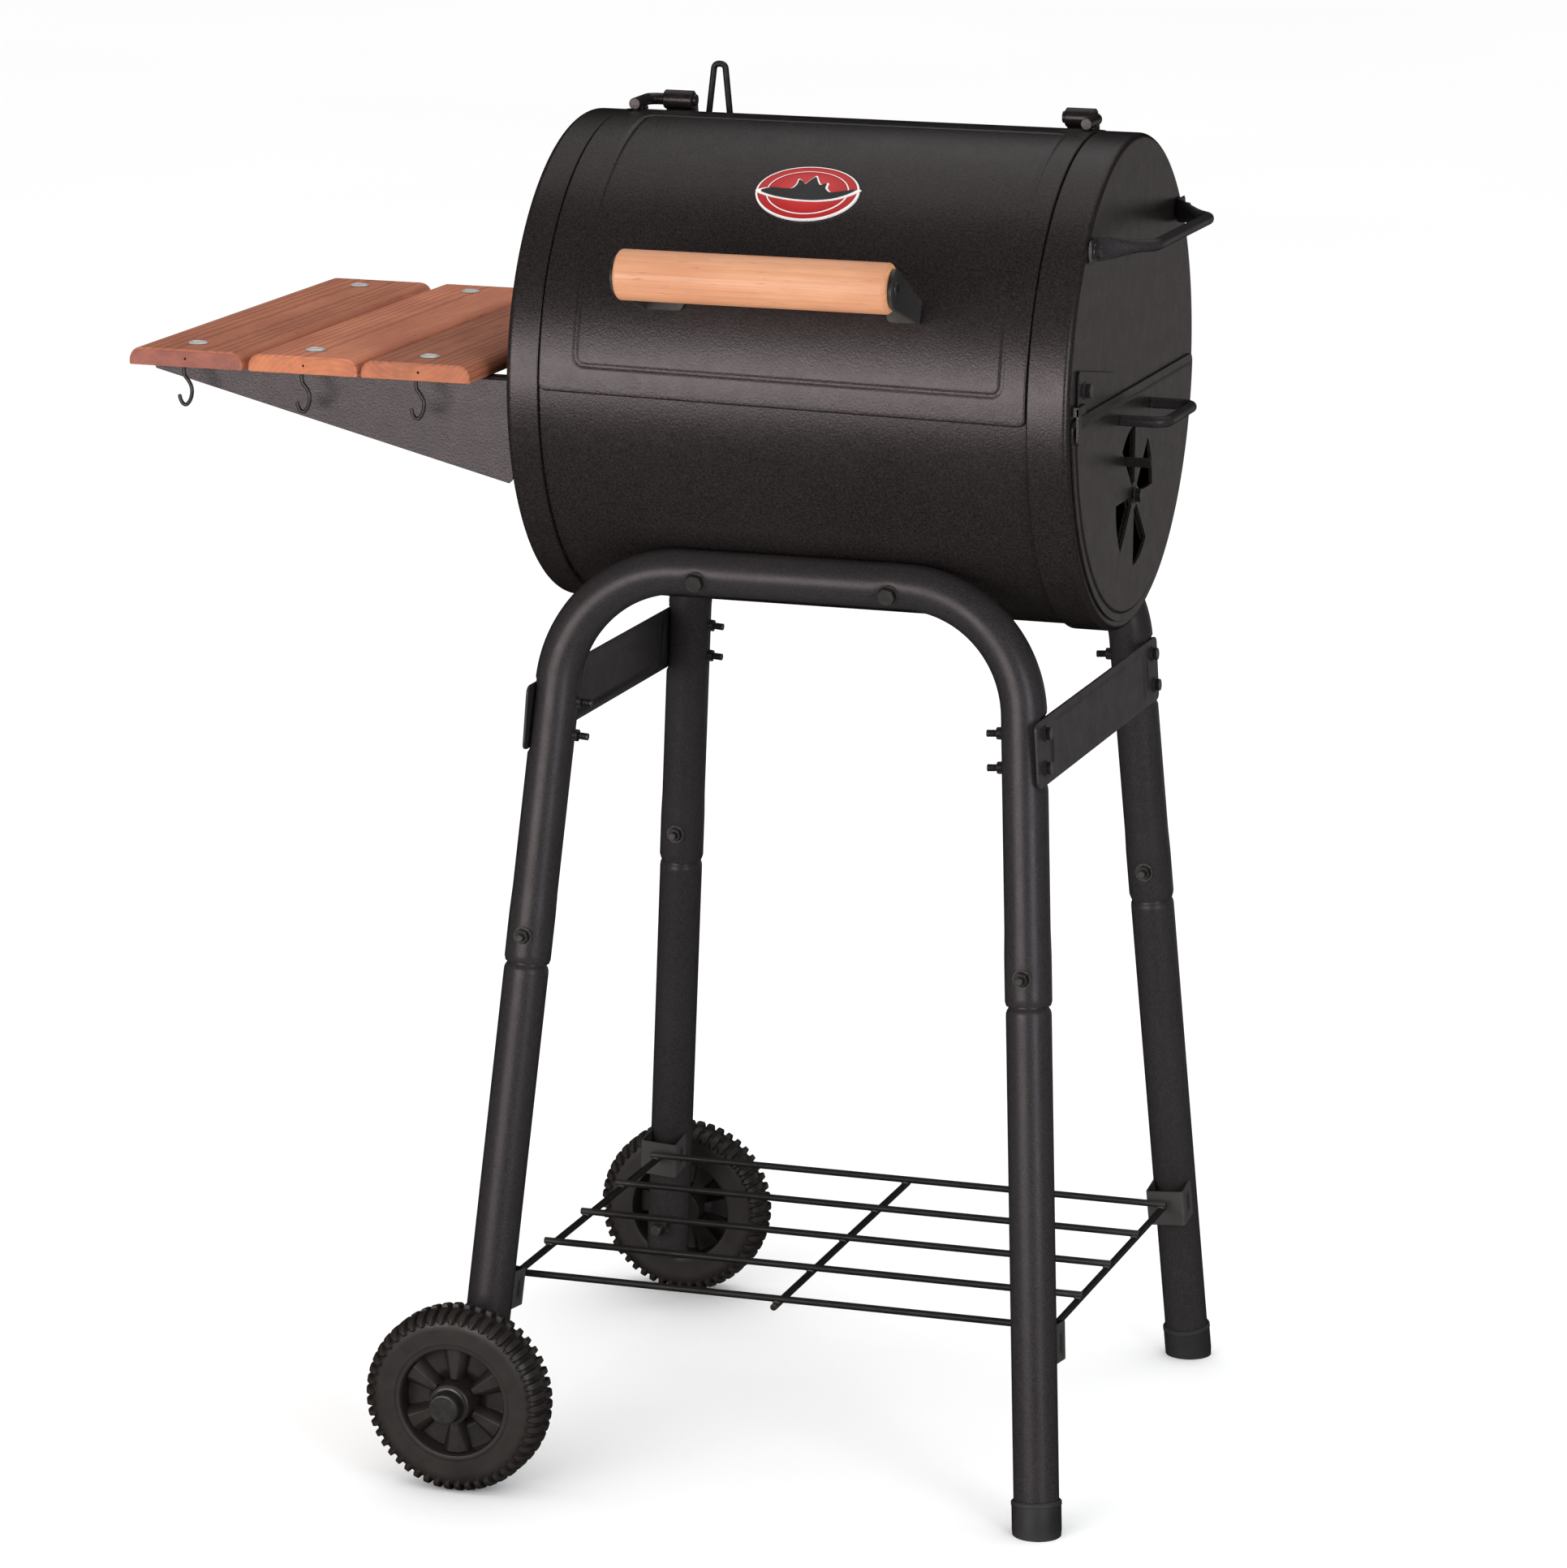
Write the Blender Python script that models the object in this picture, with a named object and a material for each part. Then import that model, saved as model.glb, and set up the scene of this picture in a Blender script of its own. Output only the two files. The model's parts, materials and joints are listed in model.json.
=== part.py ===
"""Barrel charcoal grill on a tube stand, with a slatted side shelf, two wheels and an ash drawer.

Run with: blender --background --python part.py
Metres, +Z up. The front (lid handle) faces -Y, the ash drawer +X and the shelf -X.
Pieces are modelled about the barrel's own centre line, and one empty moves the whole grill
so that the origin lies on the floor under the middle of its bounding box.
"""

import bmesh
import bpy
from math import asin, atan2, cos, degrees, pi, radians, sin, sqrt, tan
from mathutils import Matrix, Vector

GAP = 0.0004            # clearance between pieces that touch

# Barrel
AXIS_Z = 0.889          # height of the barrel's centre line
BAND_R = 0.200          # outer radius of the two end caps
LID_R = 0.2007          # outer radius of the lid
SHELL_R = 0.1965        # outer radius of the fixed shell
SHEET = 0.0015          # steel sheet
CAP_X = 0.2317          # outer face of both end caps
LID_LEFT_X = -0.2035
LID_RIGHT_X = 0.1970
LIP_DEPTH = 0.012       # how far each cap's inner lip reaches under the shell
LID_FRONT_ANGLE = -1.5  # degrees above the front horizontal
LID_REAR_ANGLE = 99.6
SHELL_FRONT_ANGLE = 1.5
SHELL_REAR_ANGLE = 100.8
ROUND_STEPS = 48
SHELL_STEPS = 40

# Lid hinge
HINGE_Y = 0.038
HINGE_Z = AXIS_Z + 0.2065
HINGE_ROD_R = 0.0048
SLEEVE_R = 0.0078
SLEEVE_BORE_R = 0.0053
SLEEVE_LENGTH = 0.025
SLEEVE_X = (-0.166, 0.170)
HINGE_ROD_X = (-0.192, 0.1915)
LOOP_X = -0.1365
LOOP_Y = 0.0525
LOOP_TOP_Z = 1.1275

# Lid handle
HANDLE_ANGLE = 21.7
HANDLE_AXIS_R = 0.280
DOWEL_R = 0.020
DOWEL_X = (-0.115, 0.103)
STRAP = 0.003
STRAP_WIDTH = 0.034     # at the dowel
STRAP_FOOT_WIDTH = 0.0185
STRAP_TAPER_R = 0.262   # the straps narrow below this radius
STRAP_FOOT = 0.027

# Ash drawer
PLATE_TOP_Z = AXIS_Z - 0.002
PLATE_R = 0.192
OPENING_R = 0.182
OPENING_TOP_Z = AXIS_Z - 0.010
PAN_R = 0.177
PAN_TOP_Z = AXIS_Z - 0.012
PAN_REAR_X = -0.193
PULL_Z = 0.866
PULL_HALF = 0.048
PULL_REACH = 0.036
VENT_Z = 0.798
VENT_R = (0.011, 0.058)
VENT_ANGLES = (0, 90, 180, 270)
VENT_SPAN = 45
EXHAUST_Z = AXIS_Z + 0.095

# Lift handle on the right end
LIFT_Z = 1.013
LIFT_FOOT_Y = 0.140
LIFT_ROD_Y = 0.087
LIFT_X = 0.270
LIFT_R = 0.0049

# Stand
TUBE_R = 0.0184
TUBE_WALL = 0.0015
TUBE_SIDES = 12
STAND_X = -0.0025       # the stand sits this far off the barrel's middle
LEG_X0 = 0.240          # half spread of the legs at the floor along X
LEG_Y0 = 0.250          # and along Y
LEG_X_SLOPE = 0.070     # how fast each closes in with height
LEG_Y_SLOPE = 0.1263
FRAME_TOP_Z = 0.7408
BEND_R = 0.102
JOINT_Z = 0.419
NECK_R = 0.0158
NECK_LENGTH = 0.050
LEG_BOLT_Z = 0.444
CAP_FOOT_R = 0.0200
CAP_FOOT_HEIGHT = 0.027
LEFT_LEG_END_Z = 0.046
SADDLE_X = 0.080
BRACE_Z = (0.590, 0.647)
BRACE_SHEET = 0.0025
BRACE_OVERHANG = 0.024

# Wheels
WHEEL_R = 0.0762
WHEEL_WIDTH = 0.038
WHEEL_Y = 0.291
AXLE_R = 0.0050
HUB_RISE = 0.006        # the hub stands this far out of the tyre's outer face
AXLE_CAP_R = 0.0125
AXLE_CAP_END = 0.0205   # the cap's end, out of the tyre's outer face
WHEEL_LUGS = 24
WHEEL_RIBS = 6

# Bottom rack
RACK_Z = 0.1515
RACK_X = 0.2285
RACK_Y = 0.184
RACK_OVERHANG = 0.0035  # long wires past the cross wires
WIRE_R = 0.0029
CLIP_Z = 0.1495
CLIP_HEIGHT = 0.031

# Side shelf
BOARD_X = ((-0.546, -0.448), (-0.443, -0.3495), (-0.3465, -0.2535))
BOARD_THICKNESS = 0.0145
BOARD_ROUND = 0.0085     # rounding of the boards' top edges
BOARD_Y = (-0.222, 0.212)
BOARD_BOTTOM_Z = 0.8925
GUSSET_Y = (-0.173, 0.187)
GUSSET_TIP_X = -0.526
GUSSET_DROP = 0.077
HOOK_X = (-0.507, -0.405, -0.307)
HOOK_Y = -0.205
HOOK_R = 0.0017

# Grates
GRATE_Z = 0.898
GRATE_HALF_Y = 0.184
CHARCOAL_Z = 0.796


# ---------------------------------------------------------------- scene and materials

def clear_scene():
    for obj in list(bpy.data.objects):
        bpy.data.objects.remove(obj)


def material(name, colour, roughness, metallic):
    mat = bpy.data.materials.new(name)
    mat.use_nodes = True
    shader = mat.node_tree.nodes["Principled BSDF"]
    shader.inputs["Base Color"].default_value = (*colour, 1.0)
    shader.inputs["Roughness"].default_value = roughness
    shader.inputs["Metallic"].default_value = metallic
    return mat


clear_scene()
BARREL_PAINT = material("barrel_paint", (0.030, 0.028, 0.028), 0.55, 0.3)
TUBE_PAINT = material("tube_paint", (0.022, 0.021, 0.022), 0.42, 0.3)
CEDAR = material("cedar", (0.36, 0.15, 0.085), 0.6, 0.0)
MAPLE = material("maple", (0.72, 0.40, 0.21), 0.45, 0.0)
TYRE = material("wheel_plastic", (0.028, 0.024, 0.022), 0.6, 0.0)
CAST_IRON = material("cast_iron", (0.045, 0.043, 0.042), 0.7, 0.6)
ZINC = material("zinc", (0.62, 0.62, 0.60), 0.35, 1.0)
BLACK_STEEL = material("black_steel", (0.030, 0.030, 0.032), 0.4, 0.7)
BADGE_RED = material("badge_enamel", (0.55, 0.03, 0.03), 0.3, 0.1)

GRILL = bpy.data.objects.new("grill", None)
bpy.context.scene.collection.objects.link(GRILL)


# ---------------------------------------------------------------- modelling helpers

def pivot(name, location):
    """An empty on a joint's axis, for the pieces that move about it."""
    empty = bpy.data.objects.new(name, None)
    bpy.context.scene.collection.objects.link(empty)
    empty.parent = GRILL
    empty.location = location
    return empty


def finish(bm, name, mat, parent=None, smooth=None):
    """Turns a bmesh into a named object; smooth is the angle up to which edges are shaded round."""
    bmesh.ops.remove_doubles(bm, verts=bm.verts, dist=0.00001)
    bmesh.ops.recalc_face_normals(bm, faces=bm.faces)
    mesh = bpy.data.meshes.new(name)
    bm.to_mesh(mesh)
    bm.free()
    mesh.materials.append(mat)
    if smooth:
        mesh.shade_smooth()
        mesh.set_sharp_from_angle(angle=radians(smooth))
    obj = bpy.data.objects.new(name, mesh)
    bpy.context.scene.collection.objects.link(obj)
    holder = parent or GRILL
    obj.parent = holder
    if holder is not GRILL:
        obj.matrix_parent_inverse = Matrix.Translation(-holder.location)
    return obj


def cutter(obj):
    obj.hide_render = True
    obj.display_type = "WIRE"
    return obj


def combine(obj, operand, operation):
    modifier = obj.modifiers.new(operation.lower(), "BOOLEAN")
    modifier.operation = operation
    modifier.object = cutter(operand)
    return obj


def prism(points, axis, low, high):
    """A bmesh of an outline extruded along one axis; points are in the other two axes, in order."""
    order = {"x": (0, 1, 2), "y": (1, 0, 2), "z": (2, 0, 1)}[axis]
    bm = bmesh.new()
    verts = []
    for first, second in points:
        place = [0.0, 0.0, 0.0]
        place[order[0]] = low
        place[order[1]] = first
        place[order[2]] = second
        verts.append(bm.verts.new(place))
    face = bm.faces.new(verts)
    grown = bmesh.ops.extrude_face_region(bm, geom=[face])
    moved = [item for item in grown["geom"] if isinstance(item, bmesh.types.BMVert)]
    step = [0.0, 0.0, 0.0]
    step[order[0]] = high - low
    bmesh.ops.translate(bm, verts=moved, vec=step)
    return bm


def box(low, high):
    return prism([(low[0], low[1]), (high[0], low[1]), (high[0], high[1]), (low[0], high[1])],
                 "z", low[2], high[2])


def arc(radius, start, end, steps, centre=(0.0, 0.0)):
    """Points on an arc, in degrees, first and last included."""
    points = []
    for index in range(steps + 1):
        angle = radians(start + (end - start) * index / steps)
        points.append((centre[0] + radius * cos(angle), centre[1] + radius * sin(angle)))
    return points


def lathe(profile, centre, axis, start=0.0, sweep=360.0, steps=ROUND_STEPS):
    """Spins a closed profile of (along, radius) points; angle 0 is -Y for axis X, and +Z for Y or Z."""
    bm = bmesh.new()
    direction = {"x": Vector((1, 0, 0)), "y": Vector((0, 1, 0)), "z": Vector((0, 0, 1))}[axis]
    outward = {"x": Vector((0, -1, 0)), "y": Vector((0, 0, 1)), "z": Vector((1, 0, 0))}[axis]
    turn = -1 if axis == "x" else 1
    outward = Matrix.Rotation(turn * radians(start), 3, direction) @ outward
    middle = Vector(centre)
    verts = [bm.verts.new(middle + direction * along + outward * radius) for along, radius in profile]
    edges = [bm.edges.new((verts[i - 1], verts[i])) for i in range(len(verts))]
    whole = abs(sweep) >= 360.0
    bmesh.ops.spin(bm, geom=verts + edges, cent=middle, axis=direction, steps=steps,
                   angle=turn * radians(sweep), use_merge=whole)
    if not whole:
        open_edges = [edge for edge in bm.edges if edge.is_boundary]
        bmesh.ops.holes_fill(bm, edges=open_edges)
    return bm


def rounded_path(corners, radius, steps=6):
    """A list of points through the corners, with each inner corner turned as an arc."""
    corners = [Vector(corner) for corner in corners]
    path = [corners[0]]
    for before, corner, after in zip(corners, corners[1:], corners[2:]):
        back = (before - corner).normalized()
        onward = (after - corner).normalized()
        half = back.angle(onward) / 2
        middle = corner + (back + onward).normalized() * radius / sin(half)
        first = corner + back * radius / tan(half) - middle
        last = corner + onward * radius / tan(half) - middle
        sweep = first.angle(last)
        for index in range(steps + 1):
            share = index / steps
            spoke = (first * sin((1 - share) * sweep) + last * sin(share * sweep)) / sin(sweep)
            path.append(middle + spoke)
    path.append(corners[-1])
    return path


def pipe(path, radius, sides, capped=True):
    """A round bar or an open tube along a path, made with a bevelled curve."""
    curve = bpy.data.curves.new("pipe", "CURVE")
    curve.dimensions = "3D"
    curve.bevel_depth = radius
    curve.bevel_resolution = (sides - 4) // 2
    curve.use_fill_caps = capped
    spline = curve.splines.new("POLY")
    spline.points.add(len(path) - 1)
    for point, place in zip(spline.points, path):
        point.co = (*place, 1.0)
    holder = bpy.data.objects.new("pipe", curve)
    mesh = bpy.data.meshes.new_from_object(holder)
    bm = bmesh.new()
    bm.from_mesh(mesh)
    bpy.data.objects.remove(holder)
    bpy.data.curves.remove(curve)
    bpy.data.meshes.remove(mesh)
    return bm


def ring_stack(rings, place, direction, sides=12):
    """A turned piece from rings of (along, radius, hexagonal): bolts, nuts and washers in one solid."""
    bm = bmesh.new()
    before = None
    for along, radius, hexagonal in rings:
        ring = []
        for index in range(sides):
            angle = 2 * pi * index / sides
            size = radius * cos(pi / 6) if hexagonal and index % 2 else radius
            ring.append(bm.verts.new((size * cos(angle), size * sin(angle), along)))
        if before:
            for index in range(sides):
                after = (index + 1) % sides
                bm.faces.new((before[index], before[after], ring[after], ring[index]))
        else:
            bm.faces.new(list(reversed(ring)))
        before = ring
    bm.faces.new(before)
    turn = Vector((0, 0, 1)).rotation_difference(Vector(direction)).to_matrix().to_4x4()
    bmesh.ops.transform(bm, matrix=Matrix.Translation(place) @ turn, verts=bm.verts)
    return bm


def drill(obj, place, direction, radius, reach):
    """Cuts a round hole through everything of obj within reach of a place."""
    name = obj.name + "_hole"
    hole = ring_stack([(-reach, radius, False), (reach, radius, False)], place, direction)
    return combine(obj, finish(hole, name, BLACK_STEEL), "DIFFERENCE")


def lattice(xs, ys, low, high):
    """A flat grid of bars with the cells between them left open, raised into one solid plate."""
    bm = bmesh.new()
    verts = [[bm.verts.new((x, y, low)) for y in ys] for x in xs]
    for i in range(len(xs) - 1):
        for j in range(len(ys) - 1):
            if i % 2 == 0 or j % 2 == 0:
                bm.faces.new((verts[i][j], verts[i + 1][j], verts[i + 1][j + 1], verts[i][j + 1]))
    loose = [vert for vert in bm.verts if not vert.link_faces]
    bmesh.ops.delete(bm, geom=loose, context="VERTS")
    grown = bmesh.ops.extrude_face_region(bm, geom=list(bm.faces))
    moved = [item for item in grown["geom"] if isinstance(item, bmesh.types.BMVert)]
    bmesh.ops.translate(bm, verts=moved, vec=(0, 0, high - low))
    return bm


def on_barrel(x, radius, angle):
    """A point round the barrel; the angle rises from the front horizontal over the top."""
    turn = radians(angle)
    return Vector((x, -radius * cos(turn), AXIS_Z + radius * sin(turn)))


def leg_point(side_x, side_y, z):
    """The centre line of one leg; the sides are -1 or 1."""
    x = STAND_X + side_x * (LEG_X0 - LEG_X_SLOPE * z)
    return Vector((x, side_y * (LEG_Y0 - LEG_Y_SLOPE * z), z))


def leg_direction(side_x, side_y):
    return (leg_point(side_x, side_y, 1.0) - leg_point(side_x, side_y, 0.0)).normalized()


# ---------------------------------------------------------------- barrel body

def cap_profile():
    """End cap section as (outward, radius): face, rounded edge, band, step and inner lip."""
    edge = 0.005
    inside = CAP_X - SHEET
    outer = [(CAP_X, 0.0)]
    outer += [(CAP_X - edge + x, BAND_R - edge + r) for x, r in arc(edge, 0, 90, 3)]
    return outer, inside, edge


def cap_section(band_end):
    outer, inside, edge = cap_profile()
    lip_r = SHELL_R - SHEET - 0.0008
    lip_end = band_end - LIP_DEPTH
    inner = [
        (band_end, BAND_R),
        (band_end, lip_r),
        (lip_end, lip_r),
        (lip_end, lip_r - SHEET),
        (band_end + SHEET, lip_r - SHEET),
        (band_end + SHEET, BAND_R - SHEET),
        (CAP_X - edge, BAND_R - SHEET),
        (inside, BAND_R - edge),
        (inside, 0.0),
    ]
    return outer + inner


def wedges(centre_z, x_low, x_high, name):
    """Four wedge-shaped cutters round a vent's pivot."""
    whole = bmesh.new()
    for start in VENT_ANGLES:
        outline = arc(VENT_R[1], start, start + VENT_SPAN, 4, (0.0, centre_z))
        outline += arc(VENT_R[0], start + VENT_SPAN, start, 2, (0.0, centre_z))
        piece = prism(outline, "x", x_low, x_high)
        mesh = bpy.data.meshes.new("wedge")
        piece.to_mesh(mesh)
        piece.free()
        whole.from_mesh(mesh)
        bpy.data.meshes.remove(mesh)
    return finish(whole, name, BLACK_STEEL)


def left_end_cap():
    profile = [(-x, r) for x, r in cap_section(-LID_LEFT_X + 0.001)]
    cap = finish(lathe(profile, (0, 0, AXIS_Z), "x"), "left_end_cap", BARREL_PAINT, smooth=30)
    combine(cap, wedges(EXHAUST_Z, -CAP_X - 0.005, -CAP_X + 0.006, "exhaust_cut"), "DIFFERENCE")
    drill(cap, (-CAP_X, 0, EXHAUST_Z), (1, 0, 0), 0.0036, 0.01)
    return cap


def half_disc(radius, top_z, corner, steps=26):
    """Outline in (y, z) of a disc's part below a straight top edge, with round top corners."""
    centre_z = top_z - corner
    reach = sqrt((radius - corner) ** 2 - (centre_z - AXIS_Z) ** 2)
    start = degrees(atan2(centre_z - AXIS_Z, reach))
    outline = arc(corner, 90, start, 2, (reach, centre_z))
    outline += arc(radius, start, -180 - start, steps, (0.0, AXIS_Z))[1:-1]
    outline += arc(corner, 180 - start, 90, 2, (-reach, centre_z))
    return outline


def right_end_cap():
    profile = cap_section(LID_RIGHT_X + 0.001)
    cap = finish(lathe(profile, (0, 0, AXIS_Z), "x"), "right_end_cap", BARREL_PAINT, smooth=30)
    opening = prism(half_disc(OPENING_R, OPENING_TOP_Z, 0.003), "x", CAP_X - 0.006, CAP_X + 0.006)
    combine(cap, finish(opening, "drawer_opening_cut", BLACK_STEEL), "DIFFERENCE")
    return cap


def body_shell():
    profile = [
        (LID_LEFT_X, SHELL_R),
        (LID_RIGHT_X, SHELL_R),
        (LID_RIGHT_X, SHELL_R - SHEET),
        (LID_LEFT_X, SHELL_R - SHEET),
    ]
    sweep = 360 + SHELL_FRONT_ANGLE - SHELL_REAR_ANGLE
    bm = lathe(profile, (0, 0, AXIS_Z), "x", SHELL_REAR_ANGLE, sweep, SHELL_STEPS)
    return finish(bm, "body_shell", BARREL_PAINT, smooth=30)


def hinge_sleeves():
    for side, x in zip(("left", "right"), SLEEVE_X):
        profile = [
            (-SLEEVE_LENGTH / 2, SLEEVE_R),
            (SLEEVE_LENGTH / 2, SLEEVE_R),
            (SLEEVE_LENGTH / 2, SLEEVE_BORE_R),
            (-SLEEVE_LENGTH / 2, SLEEVE_BORE_R),
        ]
        sleeve = lathe(profile, (x, HINGE_Y, HINGE_Z), "x", steps=16)
        sleeve = finish(sleeve, "hinge_sleeve_" + side, BARREL_PAINT, smooth=40)
        # The welded saddle between the sleeve and the shell behind the lid.
        low_z = AXIS_Z + sqrt(SHELL_R ** 2 - 0.042 ** 2) + GAP
        saddle = box((x - SLEEVE_LENGTH / 2, HINGE_Y + 0.004, low_z),
                     (x + SLEEVE_LENGTH / 2, HINGE_Y + 0.012, HINGE_Z - 0.0045))
        combine(sleeve, finish(saddle, "saddle_" + side, BARREL_PAINT), "UNION")


def lid_rest_loop():
    foot_z = AXIS_Z + sqrt(SHELL_R ** 2 - LOOP_Y ** 2) + 0.0010
    corners = [
        (LOOP_X - 0.0085, LOOP_Y, foot_z),
        (LOOP_X - 0.0055, LOOP_Y, LOOP_TOP_Z - 0.0029),
        (LOOP_X + 0.0055, LOOP_Y, LOOP_TOP_Z - 0.0029),
        (LOOP_X + 0.0085, LOOP_Y, foot_z),
    ]
    path = rounded_path(corners, 0.0048, 5)
    finish(pipe(path, 0.0028, 8), "lid_rest_loop", BLACK_STEEL, smooth=50)


def lift_handle():
    """Bar bent to a U, its ends pressed flat where the bolts pass."""
    face = CAP_X + GAP
    flat = LIFT_FOOT_Y - 0.012      # the bends next to the end cap
    squeeze = 0.28
    half_flat = LIFT_R * squeeze
    path = rounded_path([
        (face + LIFT_R, -LIFT_FOOT_Y - 0.010, LIFT_Z),
        (face + LIFT_R, -flat, LIFT_Z),
        (LIFT_X, -LIFT_ROD_Y, LIFT_Z),
        (LIFT_X, LIFT_ROD_Y, LIFT_Z),
        (face + LIFT_R, flat, LIFT_Z),
        (face + LIFT_R, LIFT_FOOT_Y + 0.010, LIFT_Z),
    ], 0.010, 4)
    bm = pipe(path, LIFT_R, 10)
    start = LIFT_ROD_Y + 0.006
    for vert in bm.verts:
        share = max(0.0, min(1.0, (abs(vert.co.y) - start) / (flat - start)))
        vert.co.z = LIFT_Z + (vert.co.z - LIFT_Z) * (1 + 0.9 * share)
        if abs(vert.co.y) > flat:
            vert.co.x = face + half_flat + (vert.co.x - face - LIFT_R) * squeeze
    finish(bm, "lift_handle", TUBE_PAINT, smooth=50)


def grate_rails():
    """Angle ledges along the inside of the barrel that the cooking grates rest on."""
    inner = SHELL_R - SHEET
    for name, side in (("grate_rail_front", -1), ("grate_rail_rear", 1)):
        top = GRATE_Z - 0.005 - GAP
        wall = sqrt(inner ** 2 - (top - AXIS_Z + 0.016) ** 2) - 0.0012
        drop = top - 0.014
        outline = [
            (side * wall, drop),
            (side * wall, top),
            (side * (wall - 0.016), top),
            (side * (wall - 0.016), top - SHEET),
            (side * (wall - SHEET), top - SHEET),
            (side * (wall - SHEET), drop),
        ]
        finish(prism(outline, "x", -0.188, 0.182), name, BARREL_PAINT)


def badge():
    """Oval plate on the lid's front, curved with it."""
    centre_angle = 51.0
    half_x = 0.0425
    half_turn = 0.030 / LID_R
    bm = bmesh.new()
    layers = []
    for radius in (LID_R + GAP, LID_R + 0.0026):
        ring = []
        for index in range(24):
            turn = 2 * pi * index / 24
            angle = centre_angle + (half_turn * sin(turn)) * 180 / pi
            ring.append(bm.verts.new(on_barrel(-0.004 + half_x * cos(turn), radius, angle)))
        layers.append(ring)
    # Strips along the barrel join the two points that share an angle, so the plate keeps its curve.
    for ring in layers:
        bm.faces.new([ring[5], ring[6], ring[7]])
        bm.faces.new([ring[17], ring[18], ring[19]])
        for index in range(7, 17):
            far, near = (11 - index) % 24, (12 - index) % 24
            bm.faces.new([ring[index], ring[index + 1], ring[far], ring[near]])
    for index in range(24):
        after = (index + 1) % 24
        bm.faces.new([layers[0][index], layers[0][after], layers[1][after], layers[1][index]])
    finish(bm, "badge", BADGE_RED, LID, smooth=40)


# ---------------------------------------------------------------- lid

def lid_shell():
    sheet = 0.0012
    profile = [
        (LID_LEFT_X, LID_R),
        (LID_RIGHT_X, LID_R),
        (LID_RIGHT_X, LID_R - sheet),
        (LID_LEFT_X, LID_R - sheet),
    ]
    bm = lathe(profile, (0, 0, AXIS_Z), "x", LID_FRONT_ANGLE, LID_REAR_ANGLE - LID_FRONT_ANGLE, 26)
    finish(bm, "lid_shell", BARREL_PAINT, LID, smooth=30)


def to_handle_frame(bm):
    """Turns (x, tangent, radial) coordinates onto the barrel at the handle's angle."""
    turn = Matrix.Rotation(radians(90 - HANDLE_ANGLE), 4, "X")
    bmesh.ops.transform(bm, matrix=Matrix.Translation((0, 0, AXIS_Z)) @ turn, verts=bm.verts)


def handle_brackets():
    """L-shaped straps: a foot on the lid pointing inward, a round-ended arm over the dowel's end."""
    tip_r = HANDLE_AXIS_R + STRAP_WIDTH / 2 - 0.001
    foot_r = LID_R + GAP
    for where, end_x, side in (("left", DOWEL_X[0], -1), ("right", DOWEL_X[1], 1)):
        face = end_x + side * GAP
        outline = [
            (face, tip_r),
            (face + side * STRAP, tip_r),
            (face + side * STRAP, STRAP_TAPER_R),
            (face + side * STRAP, foot_r),
            (face - side * STRAP_FOOT, foot_r),
            (face - side * STRAP_FOOT, foot_r + STRAP),
            (face, foot_r + STRAP),
            (face, STRAP_TAPER_R),
        ]
        bm = prism(outline, "y", -STRAP_WIDTH / 2, STRAP_WIDTH / 2)
        ends = [edge for edge in bm.edges
                if all(abs(vert.co.z - tip_r) < 1e-6 for vert in edge.verts)
                and abs(edge.verts[0].co.y - edge.verts[1].co.y) < 1e-6]
        bmesh.ops.bevel(bm, geom=ends, offset=STRAP_WIDTH / 2 - 0.001, segments=5, affect="EDGES")
        # The arm narrows towards its foot, which follows the lid's curve.
        for vert in bm.verts:
            if vert.co.z < foot_r + STRAP + 1e-5:
                vert.co.y *= STRAP_FOOT_WIDTH / STRAP_WIDTH
                vert.co.z += sqrt(foot_r ** 2 - vert.co.y ** 2) - foot_r + 0.0004
        to_handle_frame(bm)
        finish(bm, "handle_bracket_" + where, BLACK_STEEL, LID, smooth=35)


def lid_handle():
    edge = 0.003
    low, high = DOWEL_X
    profile = [(low, 0.0), (low, DOWEL_R - edge)]
    profile += [(low + edge * 0.4, DOWEL_R - edge * 0.3), (low + edge, DOWEL_R)]
    profile += [(high - edge, DOWEL_R), (high - edge * 0.4, DOWEL_R - edge * 0.3)]
    profile += [(high, DOWEL_R - edge), (high, 0.0)]
    centre = on_barrel(0.0, HANDLE_AXIS_R, HANDLE_ANGLE)
    bm = lathe(profile, centre, "x", steps=24)
    finish(bm, "lid_handle", MAPLE, LID, smooth=35)


def hinge_rods():
    """L-shaped rods welded on the lid; their short arms turn inside the fixed sleeves."""
    for side, x, sleeve_x in zip((-1, 1), HINGE_ROD_X, SLEEVE_X):
        inner_x = sleeve_x - side * (SLEEVE_LENGTH / 2 + 0.002)
        corners = [
            (inner_x, HINGE_Y, HINGE_Z),
            (x, HINGE_Y, HINGE_Z),
            (x, 0.0, AXIS_Z + LID_R + HINGE_ROD_R + GAP),
        ]
        path = rounded_path(corners, 0.008, 4)
        name = "hinge_rod_left" if side < 0 else "hinge_rod_right"
        finish(pipe(path, HINGE_ROD_R, 10), name, BARREL_PAINT, LID, smooth=50)


# ---------------------------------------------------------------- ash drawer

def drawer_front():
    """Pressed half-round plate with a raised middle and four draft openings."""
    low = CAP_X + GAP
    bm = prism(half_disc(PLATE_R, PLATE_TOP_Z, 0.006), "x", low, low + SHEET)
    front = max(bm.faces, key=lambda face: face.calc_center_median().x)
    bmesh.ops.inset_region(bm, faces=[front], thickness=0.008)
    bmesh.ops.inset_region(bm, faces=[front], thickness=0.002, depth=0.0012)
    plate = finish(bm, "drawer_front", BARREL_PAINT, DRAWER, smooth=30)
    combine(plate, wedges(VENT_Z, low - 0.004, low + 0.008, "draft_cut"), "DIFFERENCE")
    drill(plate, (low, 0, VENT_Z), (1, 0, 0), 0.0036, 0.01)
    return plate


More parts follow.
